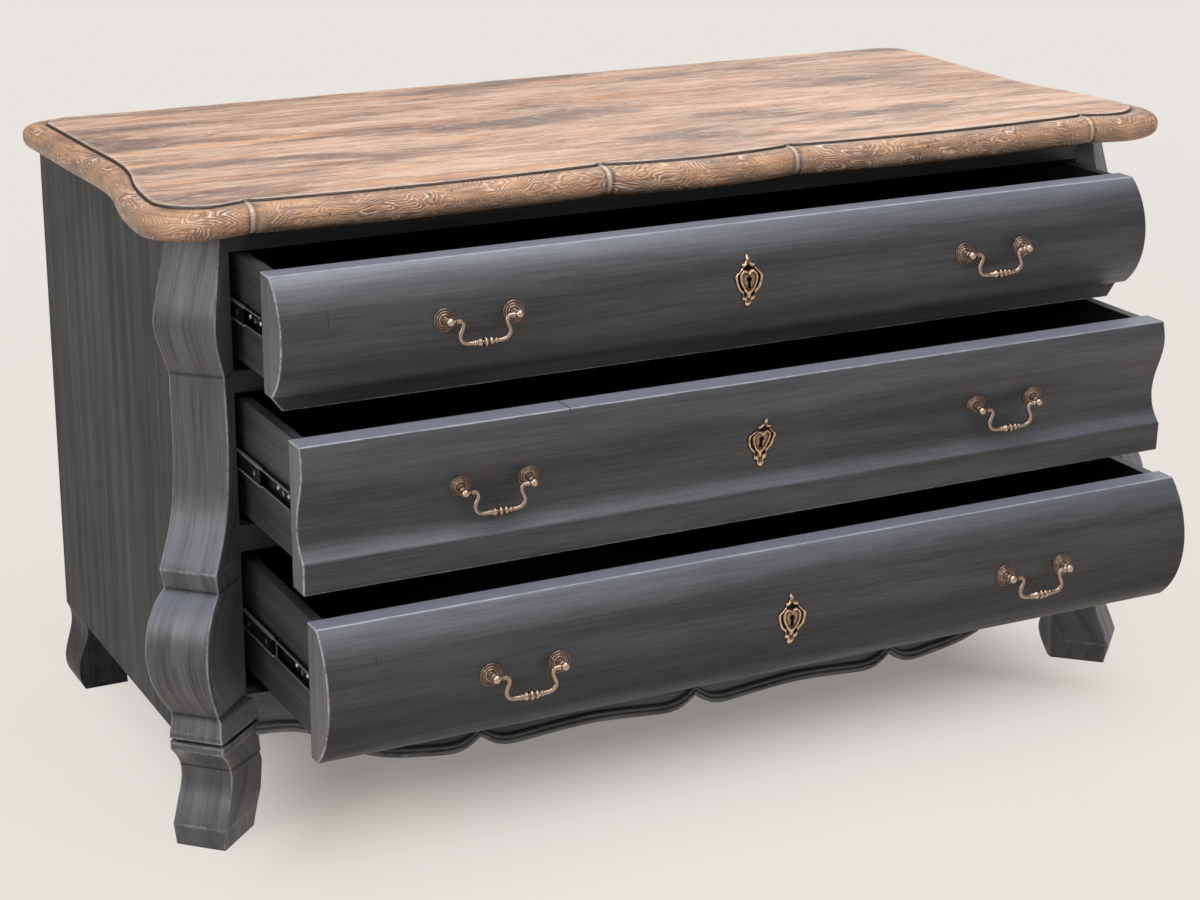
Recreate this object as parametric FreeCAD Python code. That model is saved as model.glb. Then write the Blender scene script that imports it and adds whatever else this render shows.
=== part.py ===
import FreeCAD, Part
import math
import os

Vec = FreeCAD.Vector

# A bombe chest of three drawers, shown with the drawers part way out.
# While it is built, x runs to the right, y to the back and z up; y = 0 is the plane of the drawer
# openings and z = 0 the floor. At the end all pieces move together, so that the middle of the
# underside of the whole box becomes the origin.

# Case, from the floor up
opening_half_width = 622.0
case_depth = 600.0
apron_top_height = 182.0
opening_3_height = 188.0
lower_rail_height = 34.0
opening_2_height = 171.0
upper_rail_height = 27.0
opening_1_height = 149.0
top_rail_height = 29.0
rail_depth = 60.0
top_rail_depth = 22.0
side_space = 48.0
panel_thickness = 20.0
panel_lower_height = 106.0
back_thickness = 8.0
bottom_thickness = 8.0
rear_rail_depth = 22.0
top_rear_rail_height = 50.0
cleat_height = 50.0

# Apron and its bead, which stand forward between the posts, most of all in the middle; shares of the
# opening's half width, and of the drop from the apron's top
apron_thickness = 22.0
apron_forward = 34.0
apron_bow = 32.0
apron_drop = 126.0
bead_height = 14.0
bead_depth = 9.0
apron_inner_shares = [(0.0, 0.862), (0.04, 0.985), (0.1, 1.0), (0.253, 0.95), (0.41, 1.0),
                      (0.467, 0.985), (0.507, 0.862)]
apron_outer_shares = [(0.507, 0.862), (0.547, 0.985), (0.611, 0.99), (0.7, 0.93), (0.775, 0.81),
                      (0.84, 0.62), (0.9, 0.475), (0.96, 0.435), (1.08, 0.43)]

# Front posts: a plank set at 45 degrees whose outer edge follows the curve of the drawers.
# Shares are (height, reach): above the apron's top of the height left, below it of the apron's top.
post_width = 75.0
post_reach = 112.0
post_inner_depth = 70.0
post_bulge_shares = [(1.0, 0.19), (0.866, 0.357), (0.813, 0.411), (0.749, 0.339), (0.701, 0.214)]
post_waist_shares = [(0.701, 0.214), (0.649, 0.205), (0.532, 0.196), (0.498, 0.214), (0.398, 0.339),
                     (0.339, 0.536), (0.306, 0.67)]
post_belly_shares = [(0.264, 0.625), (0.235, 0.79), (0.197, 0.93), (0.139, 1.0), (0.08, 0.964), (0.03, 0.848),
                     (0.0, 0.768)]
foot_block_shares = [(1.0, 0.768), (0.879, 0.84), (0.835, 0.84), (0.835, 0.768), (0.802, 0.768),
                     (0.802, 0.83), (0.747, 0.83)]
foot_front_shares = [(0.747, 0.83), (0.64, 0.66), (0.505, 0.571), (0.33, 0.65), (0.165, 0.75)]
foot_inner_shares = [(0.0, -0.05), (0.2, -0.21), (0.42, -0.08)]
foot_bottom_share = 0.69
foot_inner_top_share = 0.03

# Rear legs: a corner post inside the case and a bracket foot under the side panel
leg_width = 50.0
leg_depth = 52.0
rear_foot_width = 62.0
rear_foot_depth = 100.0
rear_foot_flare = 6.0
rear_foot_waist_share = 0.74
rear_foot_toe_share = 0.8

# Top board: overhangs from the case and the inset layers of its rounded edge
top_thickness = 40.0
top_front_overhang = 72.0
top_side_overhang = 48.0
top_back_overhang = 6.0
top_waist = 30.0
top_cusp = 16.0
top_edge_inset = 18.0
top_front_corner = 66.0
top_back_corner = 35.0
cusp_half_spacing = 137.0
outer_cusp_to_corner = 65.0
top_edge_shares = [(1.0, 0.0), (0.45, 0.06), (0.12, 0.22), (0.0, 0.5), (0.12, 0.78), (0.45, 0.94),
                   (1.0, 1.0)]
top_waist_shares = [(0.0, 0.0), (0.06, 0.08), (0.2, 0.42), (0.3, 0.8), (0.4, 1.0), (0.6, 0.92),
                    (0.85, 0.76), (1.0, 0.66)]

# Drawers: fronts lie over the openings; y of the back face when shut is minus the shut gap
front_side_gap = 3.0
shut_gap = 0.5
drawer_1_pulled = 101.0
drawer_2_pulled = 179.0
drawer_3_pulled = 223.0
front_1_height = 148.0
front_2_height = 182.0
front_3_height = 173.0
front_1_top_gap = 1.0
front_2_top_gap = 8.0
front_3_top_gap = 13.0
front_1_top_thickness = 30.0
front_1_belly_thickness = 65.0
front_1_low_thickness = 26.0
front_2_thickness = 41.0
front_3_top_thickness = 30.0
front_3_belly_thickness = 64.0
front_3_low_thickness = 19.0
front_2_curve_shares = [(0.0, 0.88), (0.14, 1.0), (0.34, 0.76), (0.57, 0.49), (0.7, 0.63),
                        (0.79, 0.95)]
front_2_low_share = 0.9
drop_strip_height = 22.0
drop_strip_thickness = 12.0
drop_strip_mitre = 18.0
side_1_height = 134.0
side_2_height = 150.0
side_3_height = 150.0
side_drop = 2.0
drawer_rear_room = 10.5
side_thickness = 14.0
box_bottom_thickness = 6.0
box_bottom_height = 10.0
groove_depth = 5.0

# Telescopic slides: three nested channels, each a running gap inside the next
slide_thickness = 10.5
slide_height = 28.0
slide_wall = 1.2
slide_gap = 0.3
case_slide_front = 8.0
slide_rear_room = 32.0
middle_slide_shortfall = 20.0
middle_slide_front = 10.0
drawer_slide_gap = 4.0
screw_head_radius = 3.5
screw_head_height = 2.0
screw_radius = 2.0
screw_depth = 12.0
screw_place_shares = [0.06, 0.5, 0.94]

# Handles: two to a drawer, each a bail between two ball-headed posts on ringed rosettes
handle_half_spacing = 369.0
handle_post_spacing = 90.0
handle_1_drop = 68.0
handle_2_drop = 80.0
handle_3_drop = 81.0
rosette_radius = 14.5
rosette_height = 2.2
rosette_ring_radius = 9.5
rosette_ring_height = 3.2
rosette_seat = 6.0
neck_radius = 3.2
ball_radius = 6.0
ball_reach = 17.0
stud_radius = 2.0
stud_tail = 5.0
bail_pin_radius = 2.0
bail_pin_gap = 0.1
bail_shoulder = 6.6
bail_wire_radius = 2.8
bail_drop = 31.0
bail_knob_radius = 5.2
bail_bead_half_length = 15.0
nut_radius = 4.6
nut_height = 4.0
nut_recess_radius = 7.5
nut_recess_depth = 8.0
bail_path_shares = [(0.71, 0.0), (0.765, 0.64), (0.57, 1.0)]
bail_bend_share = 0.46
bail_bead_shares = [(0.0, 1.0), (0.14, 0.9), (0.22, 0.62), (0.36, 0.84), (0.52, 0.84), (0.66, 0.62),
                    (0.8, 0.74), (0.94, 0.6), (1.0, 0.3)]

# Escutcheons: half outline as shares of half width and half height, from the lower tip up
escutcheon_half_width = 20.0
escutcheon_half_height = 35.0
escutcheon_thickness = 3.0
escutcheon_1_drop = 68.0
escutcheon_2_drop = 84.0
escutcheon_3_drop = 85.0
escutcheon_shares = [(0.0, -1.0), (0.2, -0.9), (0.13, -0.76), (0.44, -0.62), (0.36, -0.44),
                     (0.76, -0.22), (0.8, 0.06), (1.0, 0.26), (0.8, 0.42), (0.66, 0.6), (0.34, 0.66),
                     (0.3, 0.78), (0.16, 0.82), (0.18, 0.93), (0.0, 1.0)]
keyhole_radius = 3.6
keyhole_slot_width = 3.6
keyhole_slot_length = 11.0
keyhole_depth = 12.0
pin_place_share = 0.72
pin_radius = 1.2
pin_head_radius = 2.2
pin_head_height = 1.2
pin_depth = 9.0

# Fits and the overrun of every cut
stud_fit = 0.05
seat_gap = 0.05
overrun = 5.0

# Levels and planes that follow from the sizes above
opening_3_top = apron_top_height + opening_3_height
opening_2_low = opening_3_top + lower_rail_height
opening_2_top = opening_2_low + opening_2_height
opening_1_low = opening_2_top + upper_rail_height
opening_1_top = opening_1_low + opening_1_height
case_top = opening_1_top + top_rail_height
total_height = case_top + top_thickness
panel_inner = opening_half_width + side_space
panel_outer = panel_inner + panel_thickness
back_plane = case_depth - back_thickness
drawer_half_width = opening_half_width - slide_thickness
front_half_width = opening_half_width - front_side_gap
diagonal = math.sqrt(0.5)
post_back = (post_width + post_inner_depth) * diagonal
leg_front = back_plane - leg_depth
leg_inner = panel_inner - leg_width
outer_cusp_x = panel_outer + top_side_overhang - top_front_corner - outer_cusp_to_corner
side_length = back_plane - rear_rail_depth - drawer_rear_room + shut_gap
case_slide_length = leg_front - slide_rear_room - case_slide_front
middle_slide_length = case_slide_length - middle_slide_shortfall
drawer_slide_length = case_slide_length

pieces = {}


def block(x_pair, y_pair, z_pair):
    low = Vec(min(x_pair), min(y_pair), min(z_pair))
    high = Vec(max(x_pair), max(y_pair), max(z_pair))
    size = high - low
    return Part.makeBox(size.x, size.y, size.z, low)


def mirrored(shape):
    return shape.mirror(Vec(0, 0, 0), Vec(1, 0, 0))


def spline(points):
    curve = Part.BSplineCurve()
    curve.interpolate(points)
    return curve.toShape()


def polyline(points):
    return [Part.makeLine(a, b) for a, b in zip(points, points[1:])]


def arcs(points):
    return [Part.Arc(points[i], points[i + 1], points[i + 2]).toShape()
            for i in range(0, len(points) - 2, 2)]


def prism(edges, travel):
    return Part.Face(Part.Wire(edges)).extrude(travel)


def rod(radius, start, end):
    return Part.makeCylinder(radius, (end - start).Length, start, end - start)


# Front posts


def front_post():
    outward = Vec(-diagonal, -diagonal, 0)
    across = Vec(diagonal, -diagonal, 0)
    corner = Vec(-opening_half_width, 0, 0)

    def upper(shares):
        return [corner + outward * (post_reach * reach)
                + Vec(0, 0, apron_top_height + height * (case_top - apron_top_height))
                for height, reach in shares]

    def lower(shares):
        return [corner + outward * (post_reach * reach) + Vec(0, 0, apron_top_height * height)
                for height, reach in shares]

    bulge = upper(post_bulge_shares)
    waist = upper(post_waist_shares)
    belly = upper(post_belly_shares)
    foot_block = lower(foot_block_shares)
    foot_front = lower(foot_front_shares)
    foot_inner = lower(foot_inner_shares)
    toe = lower([(0.0, foot_bottom_share)])
    knee = corner + outward * (post_reach * foot_inner_top_share) + Vec(0, 0, panel_lower_height)
    inner = corner - outward * post_inner_depth
    inner_low = inner + Vec(0, 0, panel_lower_height)
    inner_high = inner + Vec(0, 0, case_top)
    edges = [Part.makeLine(inner_high, bulge[0]), spline(bulge), spline(waist)]
    edges += [Part.makeLine(waist[-1], belly[0]), spline(belly)]
    edges += polyline(foot_block)
    edges += [spline(foot_front)]
    edges += polyline([foot_front[-1], toe[0], foot_inner[0]])
    edges += [spline(foot_inner + [knee])]
    edges += polyline([knee, inner_low, inner_high])
    plank = prism(edges, across * -post_width)
    inside = block((-opening_half_width, 0), (0, case_depth), (-overrun, case_top + overrun))
    return plank.cut(inside)


left_post = front_post()
right_post = mirrored(left_post)
pieces["left_front_post"] = left_post
pieces["right_front_post"] = right_post


# Side panels, with the front edge cut at 45 degrees to lie on the post


def side_panel():
    def on_post(x):
        return post_width / diagonal - (x - opening_half_width)

    corners = [Vec(-panel_outer, on_post(panel_outer), panel_lower_height),
               Vec(-panel_outer, case_depth, panel_lower_height),
               Vec(-panel_inner, case_depth, panel_lower_height),
               Vec(-panel_inner, on_post(panel_inner), panel_lower_height)]
    return prism(polyline(corners + corners[:1]), Vec(0, 0, case_top - panel_lower_height))


pieces["left_side_panel"] = side_panel()
pieces["right_side_panel"] = mirrored(pieces["left_side_panel"])
pieces["back_panel"] = block((-panel_inner, panel_inner), (back_plane, case_depth),
                             (panel_lower_height, case_top))


# Rear legs


def rear_leg():
    upright = block((-panel_inner, -leg_inner), (leg_front, back_plane), (panel_lower_height, case_top))
    foot_front = case_depth - rear_foot_depth
    waist_depth = case_depth - rear_foot_depth * rear_foot_waist_share
    toe_depth = case_depth - rear_foot_depth * rear_foot_toe_share
    x = rear_foot_width - panel_outer
    front_curve = [Vec(x, foot_front, panel_lower_height),
                   Vec(x, waist_depth, panel_lower_height / 2),
                   Vec(x, toe_depth, 0)]
    rear_top = Vec(x, case_depth, panel_lower_height)
    rear_low = Vec(x, case_depth, 0)
    edges = [spline(front_curve), Part.makeLine(front_curve[-1], rear_low),
             Part.makeLine(rear_low, rear_top), Part.makeLine(rear_top, front_curve[0])]
    wide = prism(edges, Vec(-rear_foot_width - rear_foot_flare, 0, 0))
    outer_curve = [Vec(-panel_outer, foot_front - overrun, panel_lower_height),
                   Vec(-panel_outer, foot_front - overrun, panel_lower_height / 2),
                   Vec(-panel_outer - rear_foot_flare, foot_front - overrun, panel_lower_height / 4),
                   Vec(-panel_outer, foot_front - overrun, 0)]
    far_low = Vec(-leg_inner, foot_front - overrun, 0)
    far_high = Vec(-leg_inner, foot_front - overrun, panel_lower_height)
    section = [spline(outer_curve), Part.makeLine(outer_curve[-1], far_low),
               Part.makeLine(far_low, far_high), Part.makeLine(far_high, outer_curve[0])]
    keep = prism(section, Vec(0, rear_foot_depth + overrun * 2, 0))
    return upright.fuse(wide.common(keep)).removeSplitter()


pieces["left_rear_leg"] = rear_leg()
pieces["right_rear_leg"] = mirrored(pieces["left_rear_leg"])


# Rails between the posts and between the rear legs

rail_span = (-opening_half_width, opening_half_width)
rear_span = (-leg_inner, leg_inner)
rear_rail_pair = (back_plane - rear_rail_depth, back_plane)
bottom_low = apron_top_height - bottom_thickness
pieces["top_front_rail"] = block(rail_span, (0, top_rail_depth), (opening_1_top, case_top))
pieces["upper_drawer_rail"] = block(rail_span, (0, rail_depth), (opening_2_top, opening_1_low))
pieces["lower_drawer_rail"] = block(rail_span, (0, rail_depth), (opening_3_top, opening_2_low))
pieces["top_rear_rail"] = block(rear_span, rear_rail_pair, (case_top - top_rear_rail_height, case_top))
pieces["bottom_rear_rail"] = block(rear_span, rear_rail_pair, (panel_lower_height, bottom_low))


# The apron is bowed in plan: its faces are equal arcs, so far behind the line of its front face

apron_low = apron_top_height - apron_drop - overrun
apron_room = apron_drop + overrun * 2
apron_reach = apron_forward + bead_depth + overrun
apron_back = apron_thickness - apron_forward


def bowed(front, back):
    half = opening_half_width + apron_reach

    def line(behind):
        y = behind - apron_forward
        end = y + apron_bow
        return [Vec(-half, end, apron_low), Vec(0, y, apron_low), Vec(half, end, apron_low)]

    near = line(front)
    far = line(back)
    edges = arcs(near) + [Part.makeLine(near[-1], far[-1])]
    edges += arcs(far[::-1]) + [Part.makeLine(far[0], near[0])]
    return prism(edges, Vec(0, 0, apron_room))


# Bottom panel, notched around the posts and legs and cut to the back of the apron


def bottom_panel():
    panel = block((-panel_inner, panel_inner), (apron_back - overrun, back_plane),
                  (bottom_low, apron_top_height))
    panel = panel.cut(bowed(-apron_forward, apron_thickness))
    for side in (-1, 1):
        panel = panel.cut(block((side * leg_inner, side * (panel_inner + overrun)),
                                (leg_front, back_plane + overrun),
                                (bottom_low - overrun, apron_top_height + overrun)))
        panel = panel.cut(block((side * opening_half_width, side * (panel_inner + overrun)),
                                (-apron_reach, post_back),
                                (bottom_low - overrun, apron_top_height + overrun)))
    return panel


pieces["bottom_panel"] = bottom_panel()


# Apron: the lower edge has three cusps, flat lobes between them and a rise to each post; the ends of
# the apron and of its bead are cut to lie on the posts


def apron_points(shares, side, lift):
    return [Vec(side * share * opening_half_width, -apron_reach, apron_top_height - drop * apron_drop + lift)
            for share, drop in shares]


def apron_edge(lift):
    left = [spline(apron_points(apron_outer_shares, -1, lift)[::-1]),
            spline(apron_points(apron_inner_shares, -1, lift)[::-1])]
    right = [spline(apron_points(apron_inner_shares, 1, lift)),
             spline(apron_points(apron_outer_shares, 1, lift))]
    return left + right


def apron_end(side, lift):
    return apron_points(apron_outer_shares, side, lift)[-1]


def apron():
    left_top = Vec(apron_end(-1, 0).x, -apron_reach, apron_top_height)
    right_top = Vec(apron_end(1, 0).x, -apron_reach, apron_top_height)
    edges = apron_edge(0) + polyline([apron_end(1, 0), right_top, left_top, apron_end(-1, 0)])
    return between_posts(edges, bowed(0, apron_thickness))


def apron_bead():
    edges = apron_edge(0) + [Part.makeLine(apron_end(1, 0), apron_end(1, bead_height))]
    edges += apron_edge(bead_height)
    edges += [Part.makeLine(apron_end(-1, bead_height), apron_end(-1, 0))]
    return between_posts(Part.__sortEdges__(edges), bowed(-bead_depth, 0))


def between_posts(edges, plan):
    behind = apron_bow + apron_thickness
    outline = prism(edges, Vec(0, apron_reach + behind, 0))
    right = [Vec(opening_half_width + apron_reach, -apron_reach, apron_low),
             Vec(opening_half_width, 0, apron_low), Vec(opening_half_width, behind, apron_low)]
    corners = right + [Vec(-point.x, point.y, point.z) for point in right[::-1]]
    room = prism(polyline(corners + corners[:1]), Vec(0, 0, apron_room))
    return outline.common(plan).common(room)


pieces["apron"] = apron()
pieces["apron_bead"] = apron_bead()


# Top board: a shaped outline, drawn in towards both faces so that its edge is rounded


def top_outline(inset, z):
    side_x = panel_outer + top_side_overhang - inset
    front_y = inset - top_front_overhang
    back_y = case_depth + top_back_overhang - inset
    cusp_y = front_y + top_cusp
    ear_y = front_y + top_front_corner
    heel_y = back_y - top_back_corner
    corner_x = side_x - top_front_corner
    centre = [Vec(-cusp_half_spacing, cusp_y, z), Vec(0, front_y, z), Vec(cusp_half_spacing, cusp_y, z)]
    lobe_middle = (cusp_half_spacing + outer_cusp_x) / 2
    outer_cusp = Vec(outer_cusp_x, cusp_y, z)
    right = [Part.Arc(centre[2], Vec(lobe_middle, front_y + top_cusp / 4, z), outer_cusp).toShape()]
    ear = Vec(side_x, ear_y, z)
    shoulder = Vec(corner_x, front_y + top_cusp / 4, z)
    turn = top_front_corner * (1 - diagonal)
    right.append(Part.makeLine(outer_cusp, shoulder))
    right.append(Part.Arc(shoulder, Vec(side_x - turn, front_y + turn, z), ear).toShape())
    flank = [Vec(side_x - top_waist * draw, ear_y + (heel_y - ear_y) * along, z)
             for along, draw in top_waist_shares]
    right.append(spline(flank))
    heel = flank[-1]
    back_turn = top_back_corner * (1 - diagonal)
    back_point = Vec(heel.x - top_back_corner, back_y, z)
    right.append(Part.Arc(heel, Vec(heel.x - back_turn, back_y - back_turn, z), back_point).toShape())
    left = [mirrored(edge) for edge in right]
    back_edge = Part.makeLine(back_point, Vec(-back_point.x, back_y, z))
    return Part.Wire(Part.__sortEdges__(arcs(centre) + right + [back_edge] + left))


def top_board():
    layers = [top_outline(top_edge_inset * inset, case_top + top_thickness * height)
              for inset, height in top_edge_shares]
    return Part.makeLoft(layers, True, True)


pieces["top_board"] = top_board()


# Screws of the fixed slides stand flush in the channel; cleats carry the slides behind the posts


def channel(web_x, end_x, height, front_y, length, centre_z):
    inward = math.copysign(slide_wall, end_x - web_x)
    y_pair = (front_y, front_y + length)
    outside = block((web_x, end_x), y_pair, (centre_z - height / 2, centre_z + height / 2))
    inside = block((web_x + inward, end_x + inward), (front_y - overrun, front_y + length + overrun),
                   (centre_z - height / 2 + slide_wall, centre_z + height / 2 - slide_wall))
    return outside.cut(inside)


nest_step = slide_wall + slide_gap
middle_slide_height = slide_height - 2 * nest_step
drawer_slide_height = middle_slide_height - 2 * nest_step
case_web = opening_half_width
middle_web = case_web - nest_step
channel_end = drawer_half_width + nest_step
drawer_flange = middle_web - nest_step

case_channels = []
case_screws = []
cleats = []


def add_case_slides(centre_z):
    for side in (-1, 1):
        rail = channel(side * case_web, side * channel_end, slide_height, case_slide_front,
                       case_slide_length, centre_z)
        cleat = block((side * panel_inner, side * opening_half_width), (post_back, leg_front),
                      (centre_z - cleat_height / 2, centre_z + cleat_height / 2))
        for share in screw_place_shares:
            y = case_slide_front + case_slide_length * share
            tip = Vec(side * (case_web + screw_depth), y, centre_z)
            seat = Vec(side * case_web, y, centre_z)
            face = Vec(side * (case_web - slide_wall), y, centre_z)
            screw = rod(screw_radius, tip, seat).fuse(rod(screw_head_radius, seat, face))
            case_screws.append(screw)
            rail = rail.cut(rod(screw_head_radius + stud_fit, seat, face))
            hole = rod(screw_radius + stud_fit, tip, seat)
            cleat = cleat.cut(hole)
            post_name = "left_front_post" if side < 0 else "right_front_post"
            pieces[post_name] = pieces[post_name].cut(hole)
        case_channels.append(rail)
        cleats.append(cleat)


# Drawers


def bulged_front(y, z_top, height, top, belly, low):
    z_low = z_top - height
    crown = [Vec(0, y - top, z_top), Vec(0, y - belly, z_top - height / 2), Vec(0, y - low, z_low)]
    return [Part.Arc(crown[0], crown[1], crown[2]).toShape()], crown[0], crown[2]


def waved_front(y, z_top, height, thickness):
    curve = [Vec(0, y - thickness * out, z_top - height * down) for down, out in front_2_curve_shares]
    low = Vec(0, y - thickness * front_2_low_share, z_top - height)
    return [spline(curve), Part.makeLine(curve[-1], low)], curve[0], low


def front_solid(profile, y, z_top, height):
    edges, start, end = profile
    outline = edges + polyline([end, Vec(0, y, z_top - height), Vec(0, y, z_top), start])
    slab = prism(outline, Vec(front_half_width, 0, 0))
    return slab.fuse(mirrored(slab)).removeSplitter()


def drop_strip(y, z):
    lower_half = front_half_width - drop_strip_mitre
    corners = [Vec(-front_half_width, y, z), Vec(front_half_width, y, z),
               Vec(lower_half, y, z - drop_strip_height), Vec(-lower_half, y, z - drop_strip_height)]
    return prism(polyline(corners + corners[:1]), Vec(0, -drop_strip_thickness, 0))


def face_point(profile, y, z, depth):
    level = Part.makeLine(Vec(0, y, z), Vec(0, y - 2 * depth, z))
    return Part.Wire(profile[0]).distToShape(level)[1][0][0]


def hex_nut(start, direction):
    across = Vec(1, 0, 0)
    corners = [start + FreeCAD.Rotation(direction, 60 * i).multVec(across * nut_radius) for i in range(6)]
    nut = prism(polyline(corners + corners[:1]), direction * nut_height)
    return nut.cut(rod(stud_radius + stud_fit, start - direction * overrun,
                       start + direction * (nut_height + overrun)))


def handle_post(surface, outward, back_length):
    ball_centre = surface + outward * ball_reach
    neck_foot = surface + outward * rosette_ring_height
    recess_floor = surface - outward * (back_length - nut_recess_depth)
    stud_end = recess_floor - outward * stud_tail
    post = rod(neck_radius, neck_foot, ball_centre).fuse(rod(stud_radius, stud_end, ball_centre))
    post = post.fuse(Part.makeSphere(ball_radius, ball_centre))
    eye = Vec(ball_radius + overrun, 0, 0)
    post = post.cut(rod(bail_pin_radius + bail_pin_gap, ball_centre - eye, ball_centre + eye))
    return post, recess_floor


def lifted(front, distance):
    return front.translated(Vec(0, -distance, 0))


def rosette(surface, outward, front):
    seat = surface - outward * rosette_seat
    disc = rod(rosette_radius, seat, surface + outward * rosette_height)
    ring = rod(rosette_ring_radius, seat, surface + outward * rosette_ring_height)
    bore = rod(stud_radius + stud_fit, seat - outward * overrun, surface + outward * ball_reach)
    return disc.fuse(ring).cut(bore).cut(lifted(front, seat_gap))


# A bail's line is straight runs joined by tangent arcs; each arc takes a share of its shorter run


def rounded_path(points):
    edges = []
    last = points[0]
    for before, corner, after in zip(points, points[1:], points[2:]):
        to_before = before - corner
        to_after = after - corner
        reach = bail_bend_share * min(to_before.Length, to_after.Length)
        first = corner + to_before.normalize() * reach
        second = corner + to_after.normalize() * reach
        half_turn = to_before.getAngle(to_after) / 2
        radius = reach * math.tan(half_turn)
        bisector = (to_before + to_after).normalize()
        inner = corner + bisector * (radius / math.sin(half_turn) - radius)
        edges += [Part.makeLine(last, first), Part.Arc(first, inner, second).toShape()]
        last = second
    edges.append(Part.makeLine(last, points[-1]))
    return Part.Wire(edges)


def bail(centre):
    half_span = handle_post_spacing / 2

    def neck(side):
        return [centre + Vec(side * half_span * share, 0, -bail_drop * drop)
                for share, drop in bail_path_shares]

    start = centre + Vec(bail_shoulder - half_span, 0, 0)
    finish = centre + Vec(half_span - bail_shoulder, 0, 0)
    middle = centre + Vec(0, 0, -bail_drop)
    path = rounded_path([start] + neck(-1) + neck(1)[::-1] + [finish])
    section = Part.Wire(Part.makeCircle(bail_wire_radius, start, Vec(1, 0, 0)))
    wire = path.makePipeShell([section], True, True)
    profile = [middle + Vec(side * share * bail_bead_half_length, 0, radius * bail_knob_radius)
               for side, shares in ((-1, bail_bead_shares[:0:-1]), (1, bail_bead_shares))
               for share, radius in shares]
    first = Vec(profile[0].x, middle.y, middle.z)
    last = Vec(profile[-1].x, middle.y, middle.z)
    edges = polyline([first] + profile + [last, first])
    beads = Part.Face(Part.Wire(edges)).revolve(middle, Vec(1, 0, 0), 360)
    shape = wire.fuse(beads)
    for side in (-1, 1):
        inner = centre + Vec(side * (half_span - bail_shoulder - bail_wire_radius), 0, 0)
        outer = centre + Vec(side * (half_span + ball_radius), 0, 0)
        shape = shape.fuse(rod(bail_pin_radius, inner, outer))
    return shape


def keyhole(centre, start_y, end_y):
    round_part = rod(keyhole_radius, Vec(centre.x, start_y, centre.z), Vec(centre.x, end_y, centre.z))
    slot = block((centre.x - keyhole_slot_width / 2, centre.x + keyhole_slot_width / 2), (start_y, end_y),
                 (centre.z - keyhole_slot_length, centre.z))
    return round_part.fuse(slot)


def escutcheon(centre, front):
    right = [Vec(escutcheon_half_width * x, centre.y, centre.z + escutcheon_half_height * z)
             for x, z in escutcheon_shares]
    edges = arcs(right)
    edges += [mirrored(edge) for edge in edges]
    outline = Part.Wire(Part.__sortEdges__(edges))
    depth = escutcheon_half_height
    stamp = lifted(Part.Face(outline).extrude(Vec(0, 2 * depth, 0)), depth)
    plate = stamp.common(lifted(front, escutcheon_thickness)).cut(lifted(front, seat_gap))
    return plate.cut(keyhole(centre, centre.y - depth, centre.y + depth))


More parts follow.
